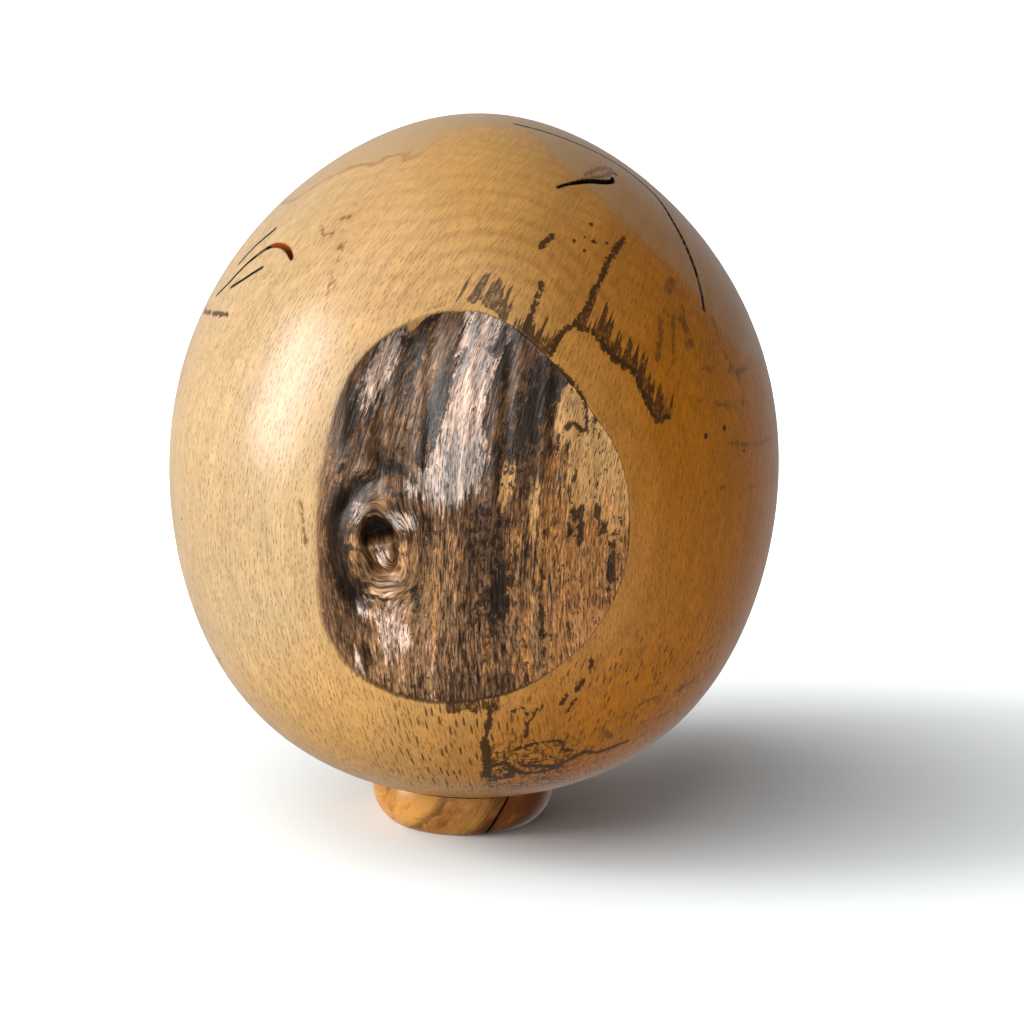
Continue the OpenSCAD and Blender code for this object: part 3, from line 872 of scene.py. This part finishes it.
def egg_finish(form, colours):
    """Honey-coloured spalted wood, dark and streaked in the natural window."""
    f = Finish("spalted_egg_wood")
    tint = SimpleNamespace(**{key: opaque(getattr(colours, key))
                              for key in type(colours).__annotations__})
    lean = math.radians(form.s.lean)
    x, y, z = f.parts(f.millimetres(lean, form.s.pole + form.middle))
    bend = z * BEND + z * z * BEND_2 + z * z * z * BEND_3
    across = x - bend + f.stored("sway")
    side, back = across - PITH_X, PITH_BACK - y
    arc = f.math("ARCTAN2", side, back) * FRONT_RADIUS
    reach = f.math("SQRT", side * side + back * back)
    grain = f.vector(arc, z, reach)

    # Clear wood: warmer to the right, with rings, fibres and ray flecks, and painted shade towards
    # the bottom
    drift = f.noise(f.vector(x * 0.02, y * 0.02, z * 0.012), 2)
    warm = x + (drift - 0.5) * 40 + f.rise(z, -25, -65, 0, 30)
    wood = f.mix(f.rise(warm, -62, 0), tint.honey, tint.gold)
    wood = f.mix(f.rise(warm, -4, 64), wood, tint.amber)
    cloud = f.noise(f.vector(arc * 0.11, z * 0.03, reach * 0.05), 2)
    ring_wave = f.math("SINE", (reach / RING_SPACING + drift * 3.5) * (2 * math.pi))
    ring = f.rise(ring_wave, 0.0, 1.0) * f.rise(cloud, 0.35, 0.65, 0.25, 1.2)
    hoop = f.math("SQRT", (x - HOOP_X) * (x - HOOP_X) + (z - HOOP_Z) * (z - HOOP_Z))
    hoop_wave = f.math("SINE", (hoop / RING_SPACING + drift * 1.5) * (2 * math.pi))
    hoops = f.rise(hoop_wave, 0.0, 1.0) * f.rise(z, 50, 60) * f.rise(hoop, 52, 30)
    fibre = f.noise(f.vector(arc * 1.3, z * 0.16, reach * 0.25), 3, 0.7)
    thread = f.noise(f.vector(arc * 2.7, z * 0.3, reach * 0.4), 3, 0.6)
    shade = (1.0 + (fibre - 0.5) * 0.7 + (thread - 0.5) * 0.55 + (cloud - 0.5) * 0.45
             - ring * 0.08 - hoops * 0.13)
    # Painted shade: the wood darkens towards the bottom, over the foot
    shade = shade * f.rise(z, -50, -98, 1.0, 0.85)
    wood = f.dim(wood, shade)
    low = f.rise(z, -20, -75)
    under = f.rise(z, -95, -86)
    behind = f.rise(y, 30, 75, 1.0, 0.1)
    fleck_fade = (f.rise(z, 88, 50, 0.3, 1.0) * f.rise(x, 85, 40, 0.4, 1.0)
                  * (low * 0.45 + 0.55) * under * behind)
    fleck, chance = f.dashes(grain, (1.8, 4.9, 26), (0.2, 1.7, 1))
    wood = f.mix(fleck * f.rise(chance, 0.0, 1.0, 0.08, 0.7) * fleck_fade, wood, tint.fleck)
    stroke, stroke_chance = f.dashes(grain, (1.25, 2.3, 18), (0.2, 0.85, 1))
    wood = f.mix(stroke * f.rise(stroke_chance, 0.1, 1.0, 0.1, 0.7)
                 * f.rise(z, 95, 60, 0.4, 1.0) * under * behind, wood, tint.fleck)
    below = f.rise(z, -46, -58) * f.rise(x, 34, 4) * f.rise(x, -34, -12) * under
    black, black_chance = f.dashes(grain, (2.0, 5.4, 26), (0.33, 1.8, 1))
    below_dash = black * below * f.rise(black_chance, 0.25, 0.6)
    patch = f.noise(f.vector(arc * 0.22, z * 0.16, reach * 0.2), 2)
    nip, nip_chance = f.dashes(f.vector(arc - z * 0.45, z, reach), (2.2, 4.6, 22), (0.3, 1.5, 1))
    nip_zone = f.rise(z, -24, -42) * f.rise(x, 6, 20) * f.rise(patch, 0.42, 0.52)
    wood = f.mix(nip * nip_zone * under * f.rise(nip_chance, 0.2, 0.6) * 0.8, wood, tint.spalt)
    beside = f.rise(x, 44, 54) * f.rise(x, 86, 70) * f.rise(z, 24, 0)
    wood = f.mix(nip * beside * f.rise(nip_chance, 0.9, 0.3) * 0.38, wood, tint.fleck)
    wood = f.mix(below_dash * 0.85, wood, tint.spalt)

    # Painted reflection: a smooth grey-brown sheen painted over the top, with a darker line along
    # its border, stronger on the left
    tooth = f.noise(f.vector(arc * 0.32, z * 0.05, reach * 0.1), 3, 0.6)
    sheen_side = f.stored("grey") + (tooth - 0.5) * 6
    grey = f.rise(sheen_side, -2, 4) * f.rise(tooth + cloud, 0.8, 1.15, 0.55, 0.85)
    grey = grey * f.rise(x, 10, 50, 1.0, 0.6)
    sheen_edge = f.rise(sheen_side, -1.2, 0.0) * f.rise(sheen_side, 1.8, 0.4)
    wood = f.mix(grey, wood, tint.grey)
    wood = f.mix(sheen_edge * f.rise(x, -10, -30, 0.06, 0.45), wood, tint.fleck)

    # Spalting lines, broken up along the grain, and flames that climb it
    grit = f.noise(f.vector(arc * 0.9, z * 0.45, reach * 0.9), 3, 0.65)
    near_line, near_figure = f.stored("line"), f.stored("figure")
    line = f.rise(near_line + (grit - 0.5) * 2.2 + (patch - 0.5) * 1.0, 0.62, 0.88)
    line = line * f.rise(near_line, 0.1, 0.8, 0.55, 0.95)
    figure = f.rise(near_figure + (grit - 0.5) * 1.4 + (fibre - 0.5) * 1.2, 0.45, 0.9)
    wood = f.mix(figure * 0.75 * f.rise(near_figure, 0.0, 0.1), wood,
                 f.mix(0.5, tint.fleck, tint.spalt))
    spike = f.noise(f.vector(arc * 0.42, z * 0.03, 2.0), 2, 0.6)
    hair = f.noise(f.vector(arc * 1.3, z * 0.14, 5.0), 3, 0.7)
    climb = f.stored("climb")
    flame = f.rise(climb - f.rise(spike, 0.32, 0.62, 0.95, 0.08) + (hair - 0.5) * 0.75, -0.08, 0.08)
    flame = flame * f.rise(climb, 0.0, 0.06) * f.rise(grit + hair, 0.8, 1.02, 0.4, 0.92)
    wood = f.mix(flame, wood, tint.spalt)
    tangle_zone = f.rise(z, -58, -76) * f.rise(x, 3, 8) * f.rise(x, 38, 26) * under
    curl = f.noise(f.vector(x * 0.34, y * 0.34, z * 0.3), 2, 0.55, 0.7)
    worm = f.rise(f.math("ABSOLUTE", curl - 0.5), 0.07, 0.03) * tangle_zone
    wood = f.mix(worm * f.rise(patch, 0.34, 0.46) * 0.9, wood, tint.spalt)

    # The natural window, in streaks along the grain
    fine = f.noise(f.vector(across * 1.2, z * 0.16, 3.0), 3, 0.7)
    strand = f.noise(f.vector(across * 2.9, z * 0.36, 11.0), 3, 0.65)
    broad = f.noise(f.vector(across * 0.4, z * 0.04, 7.0), 3, 0.55)
    blot = f.noise(f.vector(across * 0.45, z * 0.3, 1.0), 3, 0.7)
    streak = fine * 0.65 + broad * 0.35
    nick, nick_chance = f.dashes(f.vector(across, z, 0.0), (0.9, 3.0, 1), (0.17, 1.1, 1))
    nick = nick * f.rise(nick_chance, 0.15, 0.7)

    def cover(name, ragged, blotched=0.0):
        """A painted tone, made ragged along the grain and blotched."""
        return f.rise(f.stored(name) + (streak - 0.5) * ragged + (blot - 0.5) * blotched,
                      0.3, 0.62)

    left = f.rise(x, -16, -34)
    # Pale streaks and painted highlights, greyer in the upper part of the window as a painted sheen
    pale = f.mix(f.rise(broad + (strand - 0.5) * 0.5, 0.42, 0.6) * f.rise(z, -18, 2, 0.2, 1.0),
                 tint.bark_pale_and_highlight, tint.bark_grey_sheen)
    bark = f.mix(f.rise(streak, 0.34, 0.56), tint.bark_dark_and_shade, tint.bark_brown)
    orange = f.mix(0.4, tint.gold, tint.rust)
    tan = f.mix(f.rise(x * 0.007 + broad + (fine - 0.5) * 0.4, 0.5, 0.64), tint.bark_tan, orange)
    bark = f.mix(f.rise(f.stored("tan") + (streak - 0.5) * 2.4, 0.15, 0.75) * 0.85, bark, tan)
    bark = f.mix(cover("pale", 2.6) * 0.9, bark, pale)
    bark_shade = f.rise(fine, 0.32, 0.68, 0.55, 1.4) * f.rise(strand, 0.34, 0.66, 0.6, 1.36)
    bark = f.dim(bark, bark_shade)
    # Clear wood in the window: its own gold and rust colours, partly lifted as painted light, up to
    # half again, as if its facet faced the light
    clear_shade = f.rise(fine, 0.3, 0.62, 0.9, 1.5) * f.rise(strand, 0.3, 0.62, 0.9, 1.15)
    clear_shade = clear_shade * f.rise(z, -26, 8, 0.75, 1.0)
    clear = f.mix(f.rise(z + (broad - 0.5) * 50, -14, 14), orange,
                  f.mix(0.3, f.mix(0.5, tint.gold, tint.honey), orange))
    clear = f.dim(clear, clear_shade)
    bark = f.mix(cover("clear", 2.0) * 0.9, bark, clear)
    # Dark streaks, with painted shade in the left hollow and in the knot's groove
    bark = f.mix(cover("dark", 2.6, 3.0) * 0.88, bark, tint.bark_dark_and_shade)
    bark = f.mix(nick * 0.7, bark, tint.bark_dark_and_shade)
    natural = f.stored("natural")
    brow = f.rise(natural + (fine - 0.5) * 2.0, 2.6, 0.6) * left * 0.35
    bark = f.mix(brow, bark, f.mix(f.rise(fine, 0.4, 0.6), tint.bark_brown, tint.bark_tan))
    # Painted shade in the knot's hole
    bark = f.mix(f.rise(f.stored("hole"), 0.4, 1.1) * 0.8, bark, tint.bark_dark_and_shade)
    edge = natural + (streak - 0.5) * 2.2 + left * 0.8
    bare = f.rise(edge, 0.2, 1.2)
    # A dark band just inside the window's rim, strongest along the lower rim towards the left
    rim_band = f.rise(edge, -0.5, 0.3) * f.rise(edge, 2.2, 0.6)
    wood = f.mix(bare, wood, bark)
    wood = f.mix(rim_band * f.rise(z, -38, -50, 0.15, 0.7) * f.rise(x, 30, 12, 0.3, 1.0), wood,
                 tint.spalt)

    wood = f.mix(line, wood, tint.spalt)

    # Crack walls and their borders painted dark as shade, and rust on the hooked crack's wall
    wood = f.mix(f.stored("crack"), wood, tint.bark_dark_and_shade)
    wood = f.mix(f.stored("rust") * 0.85, wood, tint.rust)

    height = (fine * 0.4 + strand * 0.16 + broad * 0.3) * bare
    height = height + fibre * 0.012 * (1.0 - bare)
    roughness = 0.3 + bare * 0.04 + fleck * 0.05
    return f.shade({"IOR": WOOD_IOR, "Specular IOR Level": 0.38},
                   {"Base Color": wood, "Roughness": roughness, "Normal": f.bump(height)})


def foot_finish(colours, shape, cracks):
    """Glossy orange-brown wood with slanting dark figure, painted shade towards the right, and a
    stained crack.
    """
    f = Finish("oiled_foot_wood")
    light, dark = opaque(colours.foot_light), opaque(colours.foot_dark)
    x, y, z = f.parts(f.millimetres())
    slant = x * 0.75 - z * 0.66
    rise = x * 0.66 + z * 0.75
    figure = f.noise(f.vector(slant * 0.13, rise * 0.035, y * 0.07), 4, 0.65, 0.8)
    pore = f.noise(f.vector(slant * 1.6, rise * 0.2, y * 1.6), 3, 0.6)
    # Painted shade: the tone darkens towards the foot's right, away from the key light
    tone = f.rise(figure + (pore - 0.5) * 0.16 - f.rise(x, -4, 12, -0.06, 0.16), 0.3, 0.62)
    wood = f.mix(tone, dark, light)
    turn = math.radians(cracks.foot_slant)
    off = (x - FOOT_CRACK_PLACE * shape.diameter / 2) * math.cos(turn) - z * math.sin(turn)
    near = f.rise(f.math("ABSOLUTE", off + (figure - 0.5) * 5 + 0.6), 2.4, 0.6)
    front = f.rise(y, -8, -16)
    low = f.rise(z, 8, 1, 0.35, 1.0)
    wood = f.mix(near * front * low * 0.8, wood, opaque(colours.spalt))
    vein = f.math("ABSOLUTE", slant + 12.5 + (figure - 0.5) * 9)
    wood = f.mix(f.rise(vein, 1.2, 0.3) * front * 0.5, wood, opaque(colours.spalt))
    return f.shade(
        {"IOR": WOOD_IOR, "Specular IOR Level": 0.32, "Coat Weight": 0.06, "Coat Roughness": 0.1},
        {"Base Color": wood, "Roughness": 0.26 + pore * 0.12, "Normal": f.bump(pore * 0.02)})


def floor_finish(stage):
    """Plain pale paper that glows away from the egg: painted light, which leaves a painted shadow
    in an oval round the egg, centred a little to its right.
    """
    f = Finish("pale_floor")
    x, y, _z = f.parts(f.millimetres())
    # Painted light: the glow rises outside an oval round the egg, so the unlit oval is a painted
    # shadow; it fades again outside the camera's view
    along, back = (x - 32) / 210, (y - 8) / 142
    glow = f.rise(f.math("SQRT", along * along + back * back), 0.25, 2.1, 0.0, stage.floor_glow)
    glow = glow * f.rise(f.math("ABSOLUTE", x) - (y + 1100) * 0.15, 190, 50)
    tone = stage.floor_tone
    return f.shade({"Base Color": (tone * 0.925, tone * 0.98, tone, 1.0), "Roughness": 0.9,
                    "Specular IOR Level": 0.0, "Emission Strength": 1.0},
                   {"Emission Color": f.vector(glow, glow, glow)})


# ---------------------------------------------------------------- geometry trees

def new_tree(name, sockets):
    """A geometry tree with named inputs, and its group input and output nodes."""
    tree = bpy.data.node_groups.new(name, "GeometryNodeTree")
    for label, kind, value in sockets:
        socket = tree.interface.new_socket(label, in_out="INPUT", socket_type=kind)
        if value is not None:
            socket.default_value = value
    tree.interface.new_socket("Geometry", in_out="OUTPUT", socket_type="NodeSocketGeometry")
    graph = Graph(tree)
    source = graph.node("NodeGroupInput")
    inputs = {label: Field(graph, source.outputs[label]) for label, _kind, _value in sockets}
    return graph, inputs


def finish_tree(graph, geometry, material):
    """Ends a geometry tree in Realize Instances and Set Material."""
    real = graph.field("GeometryNodeRealizeInstances", None, {0: geometry})
    dressed = graph.field("GeometryNodeSetMaterial", None, {"Geometry": real, "Material": material})
    end = graph.node("NodeGroupOutput")
    graph.feed(end.inputs[0], dressed)
    return graph.tree


# Height in millimetres of the egg's middle, from which the fibres bend
EGG_MIDDLE = 103


def fibre_tree(material):
    """Raises long fibres along the grain wherever the natural surface shows."""
    g, given = new_tree("natural_fibres", [
        ("Geometry", "NodeSocketGeometry", None),
        ("Fibre height", "NodeSocketFloat", 0.3 * MM),
        ("Fibre spacing", "NodeSocketFloat", 1.5 * MM),
        ("Seed", "NodeSocketInt", 5)])
    place = g.field("GeometryNodeInputPosition")
    x, _y, z = g.parts(place)
    natural = g.field("GeometryNodeInputNamedAttribute", {"data_type": "FLOAT"},
                      {"Name": "natural"})
    sway = g.field("GeometryNodeInputNamedAttribute", {"data_type": "FLOAT"}, {"Name": "sway"})
    high = z / MM - EGG_MIDDLE
    across = x / MM - (high * BEND + high * high * BEND_2) + sway
    spacing = given["Fibre spacing"] / MM
    wave = g.field("ShaderNodeTexNoise", {"noise_dimensions": "4D"},
                   {"Vector": g.vector(across / spacing, high * 0.05, 0.0), "W": given["Seed"],
                    "Scale": 1.0, "Detail": 2.0, "Roughness": 0.6})
    lift = (wave - 0.5) * given["Fibre height"] * 2 * g.rise(natural, 0.3, 1.5)
    offset = g.field("ShaderNodeVectorMath", {"operation": "SCALE"},
                     {0: g.field("GeometryNodeInputNormal"), "Scale": lift})
    moved = g.field("GeometryNodeSetPosition", None,
                    {"Geometry": given["Geometry"], "Offset": offset})
    return finish_tree(g, moved, material)


# Shares of the foot's girth where the base ends, the wall ends and the dish starts
BASE_END, WALL_END, DISH_START = 0.15, 0.55, 0.56


def foot_tree(material):
    """Turns the foot: base, round wall, leaning rim and dish, from a grid of angle and girth."""
    g, given = new_tree("turned_foot", [
        ("Sides", "NodeSocketInt", 240),
        ("Bands", "NodeSocketInt", 150),
        ("Radius", "NodeSocketFloat", 27.2 * MM),
        ("Belly height", "NodeSocketFloat", 8 * MM),
        ("Wall round", "NodeSocketFloat", 9.2 * MM),
        ("Rim height", "NodeSocketFloat", 11 * MM),
        ("Dish bottom", "NodeSocketFloat", 8 * MM),
        ("Dish ball", "NodeSocketFloat", 115 * MM),
        ("Lean", "NodeSocketFloat", 0.04)])
    grid = g.field("GeometryNodeMeshGrid", None,
                   {"Size X": 1.0, "Size Y": 1.0, "Vertices X": given["Sides"] + 1,
                    "Vertices Y": given["Bands"] + 1})
    u, v, _w = g.parts(g.field("GeometryNodeInputPosition"))
    turn = (u + 0.5) * (2 * math.pi)
    girth = v + 0.5
    cosine, sine = g.math("COSINE", turn), g.math("SINE", turn)
    lean_sine, lean_cosine = g.math("SINE", given["Lean"]), g.math("COSINE", given["Lean"])

    def portion(low, high):
        return g.field("ShaderNodeMapRange", None,
                       {"Value": girth, "From Min": low, "From Max": high})

    # Base and wall: the arc runs up to where the leaning rim cuts it
    inner = given["Radius"] * 0.98
    rim = (given["Rim height"] - inner * cosine * lean_sine) / lean_cosine
    lowest = g.math("ARCSINE", 0.0 - given["Belly height"] / given["Wall round"])
    highest = g.math("ARCSINE", (rim - given["Belly height"]) / given["Wall round"])
    bow = lowest + (highest - lowest) * portion(BASE_END, WALL_END)
    wall_r = given["Radius"] - given["Wall round"] * (1.0 - g.math("COSINE", bow))
    wall_r = wall_r * portion(0.0, BASE_END)
    wall_z = given["Belly height"] + given["Wall round"] * g.math("SINE", bow)
    wall = g.vector(wall_r * cosine, wall_r * sine, wall_z)

    # Dish: part of a ball round a point on the leaning axis
    ball, bottom = given["Dish ball"], given["Dish bottom"]
    drop = given["Rim height"] - bottom
    mouth = g.math("SQRT", drop * (ball * 2 - drop))
    dish_r = mouth * (1.0 - portion(DISH_START, 1.0))
    dish_z = bottom + ball - g.math("SQRT", ball * ball - dish_r * dish_r)
    flat_x = dish_r * cosine
    dish = g.vector(flat_x * lean_cosine + dish_z * lean_sine, dish_r * sine,
                    dish_z * lean_cosine - flat_x * lean_sine)
    within = g.math("GREATER_THAN", girth, DISH_START - 0.004)
    place = g.field("ShaderNodeMix", {"data_type": "VECTOR"}, {0: within, 4: wall, 5: dish}, 1)
    shaped = g.field("GeometryNodeSetPosition", None, {"Geometry": grid, "Position": place})
    joined = g.field("GeometryNodeMergeByDistance", None,
                     {"Geometry": shaped, "Distance": 0.004 * MM})
    return finish_tree(g, joined, material)


def grow(mesh, name, tree, values):
    """Runs a geometry tree on a mesh and returns the plain mesh that it makes."""
    piece = bpy.data.objects.new(name, mesh)
    bpy.context.scene.collection.objects.link(piece)
    modifier = piece.modifiers.new(name, "NODES")
    modifier.node_group = tree
    for item in tree.interface.items_tree:
        if item.item_type == "SOCKET" and item.in_out == "INPUT" and item.name in values:
            modifier[item.identifier] = values[item.name]
    return bake(piece)


def bake(piece):
    """Applies a piece's modifiers and returns the piece with a plain mesh."""
    graph = bpy.context.evaluated_depsgraph_get()
    result = bpy.data.meshes.new_from_object(piece.evaluated_get(graph))
    piece.modifiers.clear()
    piece.data = result
    result.name = piece.name
    return piece


def crisp(mesh, degrees):
    """Smooth faces, with edges left sharp where the surface turns quickly."""
    mesh.shade_smooth()
    mesh.set_sharp_from_angle(angle=math.radians(degrees))


# ---------------------------------------------------------------- operators

# Area lights: way from the egg to the light, distance and size in metres
KEY_LIGHT = (-0.925, -0.18, 0.334), 1.5, (0.55, 1.0)
FILL_LIGHT = (-0.45, -0.5, 0.74), 2.2, (3.0, 3.0)
FLOOR_HALF_SIZE = 12
CAMERA_SHIFT = 0.0368, -0.0564
# Angle in degrees from which an edge is sharp
EGG_EDGE, FOOT_EDGE = 55, 35


class EGG_OT_stage(bpy.types.Operator):
    """Sets up the camera, the soft lights, the surroundings and the pale floor"""
    bl_idname = "wooden_egg.stage"
    bl_label = "Build Stage"

    def execute(self, context):
        stage = context.scene.egg_stage
        shape = working_units(context.scene.egg_shape)
        lean = math.radians(shape.lean)
        reach = shape.pole + shape.height / 2
        aim = Vector((reach * math.sin(lean), 0, reach * math.cos(lean))) * MM
        self.add_camera(context, stage, aim)
        self.add_light("key_light", aim, *KEY_LIGHT, stage.key_power)
        self.add_light("fill_light", aim, *FILL_LIGHT, stage.fill_power)
        world = bpy.data.worlds.new("surroundings")
        context.scene.world = world
        world.use_nodes = True
        sky = Graph(world.node_tree)
        way = sky.parts(sky.field("ShaderNodeTexCoord", output="Generated"))[1]
        light = sky.rise(way, 0.3, 0.95, stage.world_light, stage.back_light)
        sky.feed(sky.nodes["Background"].inputs["Color"], sky.vector(light, light, light))
        context.scene.view_settings.view_transform = "Standard"
        self.add_floor(context, stage)
        return {"FINISHED"}

    def add_camera(self, context, stage, aim):
        data = bpy.data.cameras.new("camera")
        data.lens = stage.lens
        data.sensor_width = 36
        data.shift_x, data.shift_y = CAMERA_SHIFT
        data.clip_start, data.clip_end = 0.05, 50
        camera = bpy.data.objects.new("camera", data)
        back = Vector((0, -math.cos(stage.elevation), math.sin(stage.elevation)))
        camera.location = aim + back * stage.distance
        camera.rotation_euler = (math.pi / 2 - stage.elevation, 0, 0)
        context.scene.collection.objects.link(camera)
        context.scene.camera = camera

    def add_light(self, name, aim, way, distance, size, power):
        way = Vector(way)
        data = bpy.data.lights.new(name, "AREA")
        data.shape = "RECTANGLE"
        data.size, data.size_y = size
        data.energy = power
        light = bpy.data.objects.new(name, data)
        light.location = aim + way.normalized() * distance
        light.rotation_euler = way.to_track_quat("Z", "Y").to_euler()
        bpy.context.scene.collection.objects.link(light)

    def add_floor(self, context, stage):
        mesh = bpy.data.meshes.new("floor")
        sheet = bmesh.new()
        bmesh.ops.create_grid(sheet, x_segments=1, y_segments=1, size=FLOOR_HALF_SIZE)
        sheet.to_mesh(mesh)
        sheet.free()
        mesh.materials.append(floor_finish(stage))
        floor = bpy.data.objects.new("floor", mesh)
        floor.visible_glossy = False
        context.scene.collection.objects.link(floor)


class EGG_OT_egg(bpy.types.Operator):
    """Builds the turned egg with its natural window, knot, cracks and spalting"""
    bl_idname = "wooden_egg.egg"
    bl_label = "Build Egg"

    def execute(self, context):
        scene = context.scene
        shape = working_units(scene.egg_shape)
        form = EggForm(shape, working_units(scene.egg_cracks))
        material = egg_finish(form, scene.egg_colours)
        egg = grow(build_egg_mesh(form), "egg_wood", fibre_tree(material),
                   {"Fibre height": shape.fibre_height * MM,
                    "Fibre spacing": shape.fibre_spacing * MM, "Seed": 5})
        lean = Matrix.Rotation(scene.egg_shape.lean, 4, "Y")
        egg.data.transform(lean @ Matrix.Translation((0, 0, scene.egg_shape.pole)))
        crisp(egg.data, EGG_EDGE)
        if len(egg.data.polygons) > MOST_FACES:
            raise RuntimeError("the egg's mesh is too fine")
        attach(egg, BODY)
        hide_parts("egg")
        return {"FINISHED"}


class EGG_OT_foot(bpy.types.Operator):
    """Turns the dished foot and opens its crack"""
    bl_idname = "wooden_egg.foot"
    bl_label = "Build Foot"

    def execute(self, context):
        scene = context.scene
        shape = working_units(scene.foot_shape)
        cracks = working_units(scene.egg_cracks)
        egg = working_units(scene.egg_shape)
        radius = shape.diameter / 2
        inset = radius - shape.base_diameter / 2
        end_radius = egg.diameter / 2 * (1 - BELLY_SHIFT + END_FULLNESS - BLUNT_END)
        end_ball = end_radius ** 2 / (egg.height / 2)
        values = {
            "Radius": radius * MM,
            "Belly height": shape.belly_height * MM,
            "Wall round": (inset ** 2 + shape.belly_height ** 2) / (2 * inset) * MM,
            "Rim height": (shape.core + shape.rim_rise) * MM,
            "Dish bottom": shape.core * MM,
            "Dish ball": (end_ball + shape.seat_gap) * MM,
            "Lean": scene.egg_shape.lean,
        }
        material = foot_finish(scene.egg_colours, shape, cracks)
        foot = grow(bpy.data.meshes.new("blank"), "foot_wood", foot_tree(material), values)
        self.face_outwards(foot.data)
        self.open_crack(foot, radius, cracks)
        foot.data.materials.clear()
        foot.data.materials.append(material)
        foot.data.polygons.foreach_set("material_index", [0] * len(foot.data.polygons))
        crisp(foot.data, FOOT_EDGE)
        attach(foot, BODY)
        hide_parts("foot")
        return {"FINISHED"}

    def face_outwards(self, mesh):
        solid = bmesh.new()
        solid.from_mesh(mesh)
        bmesh.ops.recalc_face_normals(solid, faces=solid.faces)
        solid.to_mesh(mesh)
        solid.free()

    def open_crack(self, foot, radius, cracks):
        """Cuts a slanting wedge, open at the front wall and closed inside."""
        mouth = cracks.foot_gap * (radius + cracks.foot_depth) / cracks.foot_depth / 2
        blade = bmesh.new()
        corners = [(-mouth, -2 * radius), (mouth, -2 * radius), (0, cracks.foot_depth - radius)]
        ends = [[blade.verts.new((x * MM, y * MM, z * 2 * radius * MM)) for x, y in corners]
                for z in (-1, 1)]
        low, high = ends
        blade.faces.new(low)
        blade.faces.new(high)
        for i in range(3):
            j = (i + 1) % 3
            blade.faces.new((low[i], low[j], high[j], high[i]))
        bmesh.ops.recalc_face_normals(blade, faces=blade.faces)
        mesh = bpy.data.meshes.new("blade")
        blade.to_mesh(mesh)
        blade.free()
        slant = Matrix.Rotation(math.radians(cracks.foot_slant), 4, "Y")
        mesh.transform(Matrix.Translation((FOOT_CRACK_PLACE * radius * MM, 0, 0)) @ slant)
        cutter = bpy.data.objects.new("blade", mesh)
        bpy.context.scene.collection.objects.link(cutter)
        cut = foot.modifiers.new("crack", "BOOLEAN")
        cut.operation = "DIFFERENCE"
        cut.solver = "EXACT"
        cut.object = cutter
        bake(foot)
        bpy.data.objects.remove(cutter)


class EGG_PT_panel(bpy.types.Panel):
    """Buttons and settings of the wooden egg"""
    bl_idname = "EGG_PT_panel"
    bl_label = "Wooden Egg"
    bl_space_type = "VIEW_3D"
    bl_region_type = "UI"
    bl_category = "Wooden Egg"

    def draw(self, context):
        for operator in OPERATORS:
            self.layout.operator(operator.bl_idname)
        for key, group in SETTINGS.items():
            box = self.layout.box()
            box.label(text=group.__doc__)
            for name in group.__annotations__:
                box.prop(getattr(context.scene, key), name)


OPERATORS = (EGG_OT_stage, EGG_OT_egg, EGG_OT_foot)
SETTINGS = {"egg_shape": EggShape, "egg_cracks": CrackSizes, "foot_shape": FootShape,
            "egg_colours": WoodColours, "egg_stage": StageSettings}


def register():
    for item in (*SETTINGS.values(), *OPERATORS, EGG_PT_panel):
        bpy.utils.register_class(item)
    for key, group in SETTINGS.items():
        setattr(bpy.types.Scene, key, bpy.props.PointerProperty(type=group))


def unregister():
    for key in SETTINGS:
        delattr(bpy.types.Scene, key)
    for item in reversed((*SETTINGS.values(), *OPERATORS, EGG_PT_panel)):
        bpy.utils.unregister_class(item)


def main():
    register()
    bpy.ops.wooden_egg.stage()
    bpy.ops.wooden_egg.egg()
    bpy.ops.wooden_egg.foot()


if __name__ == "__main__":
    main()
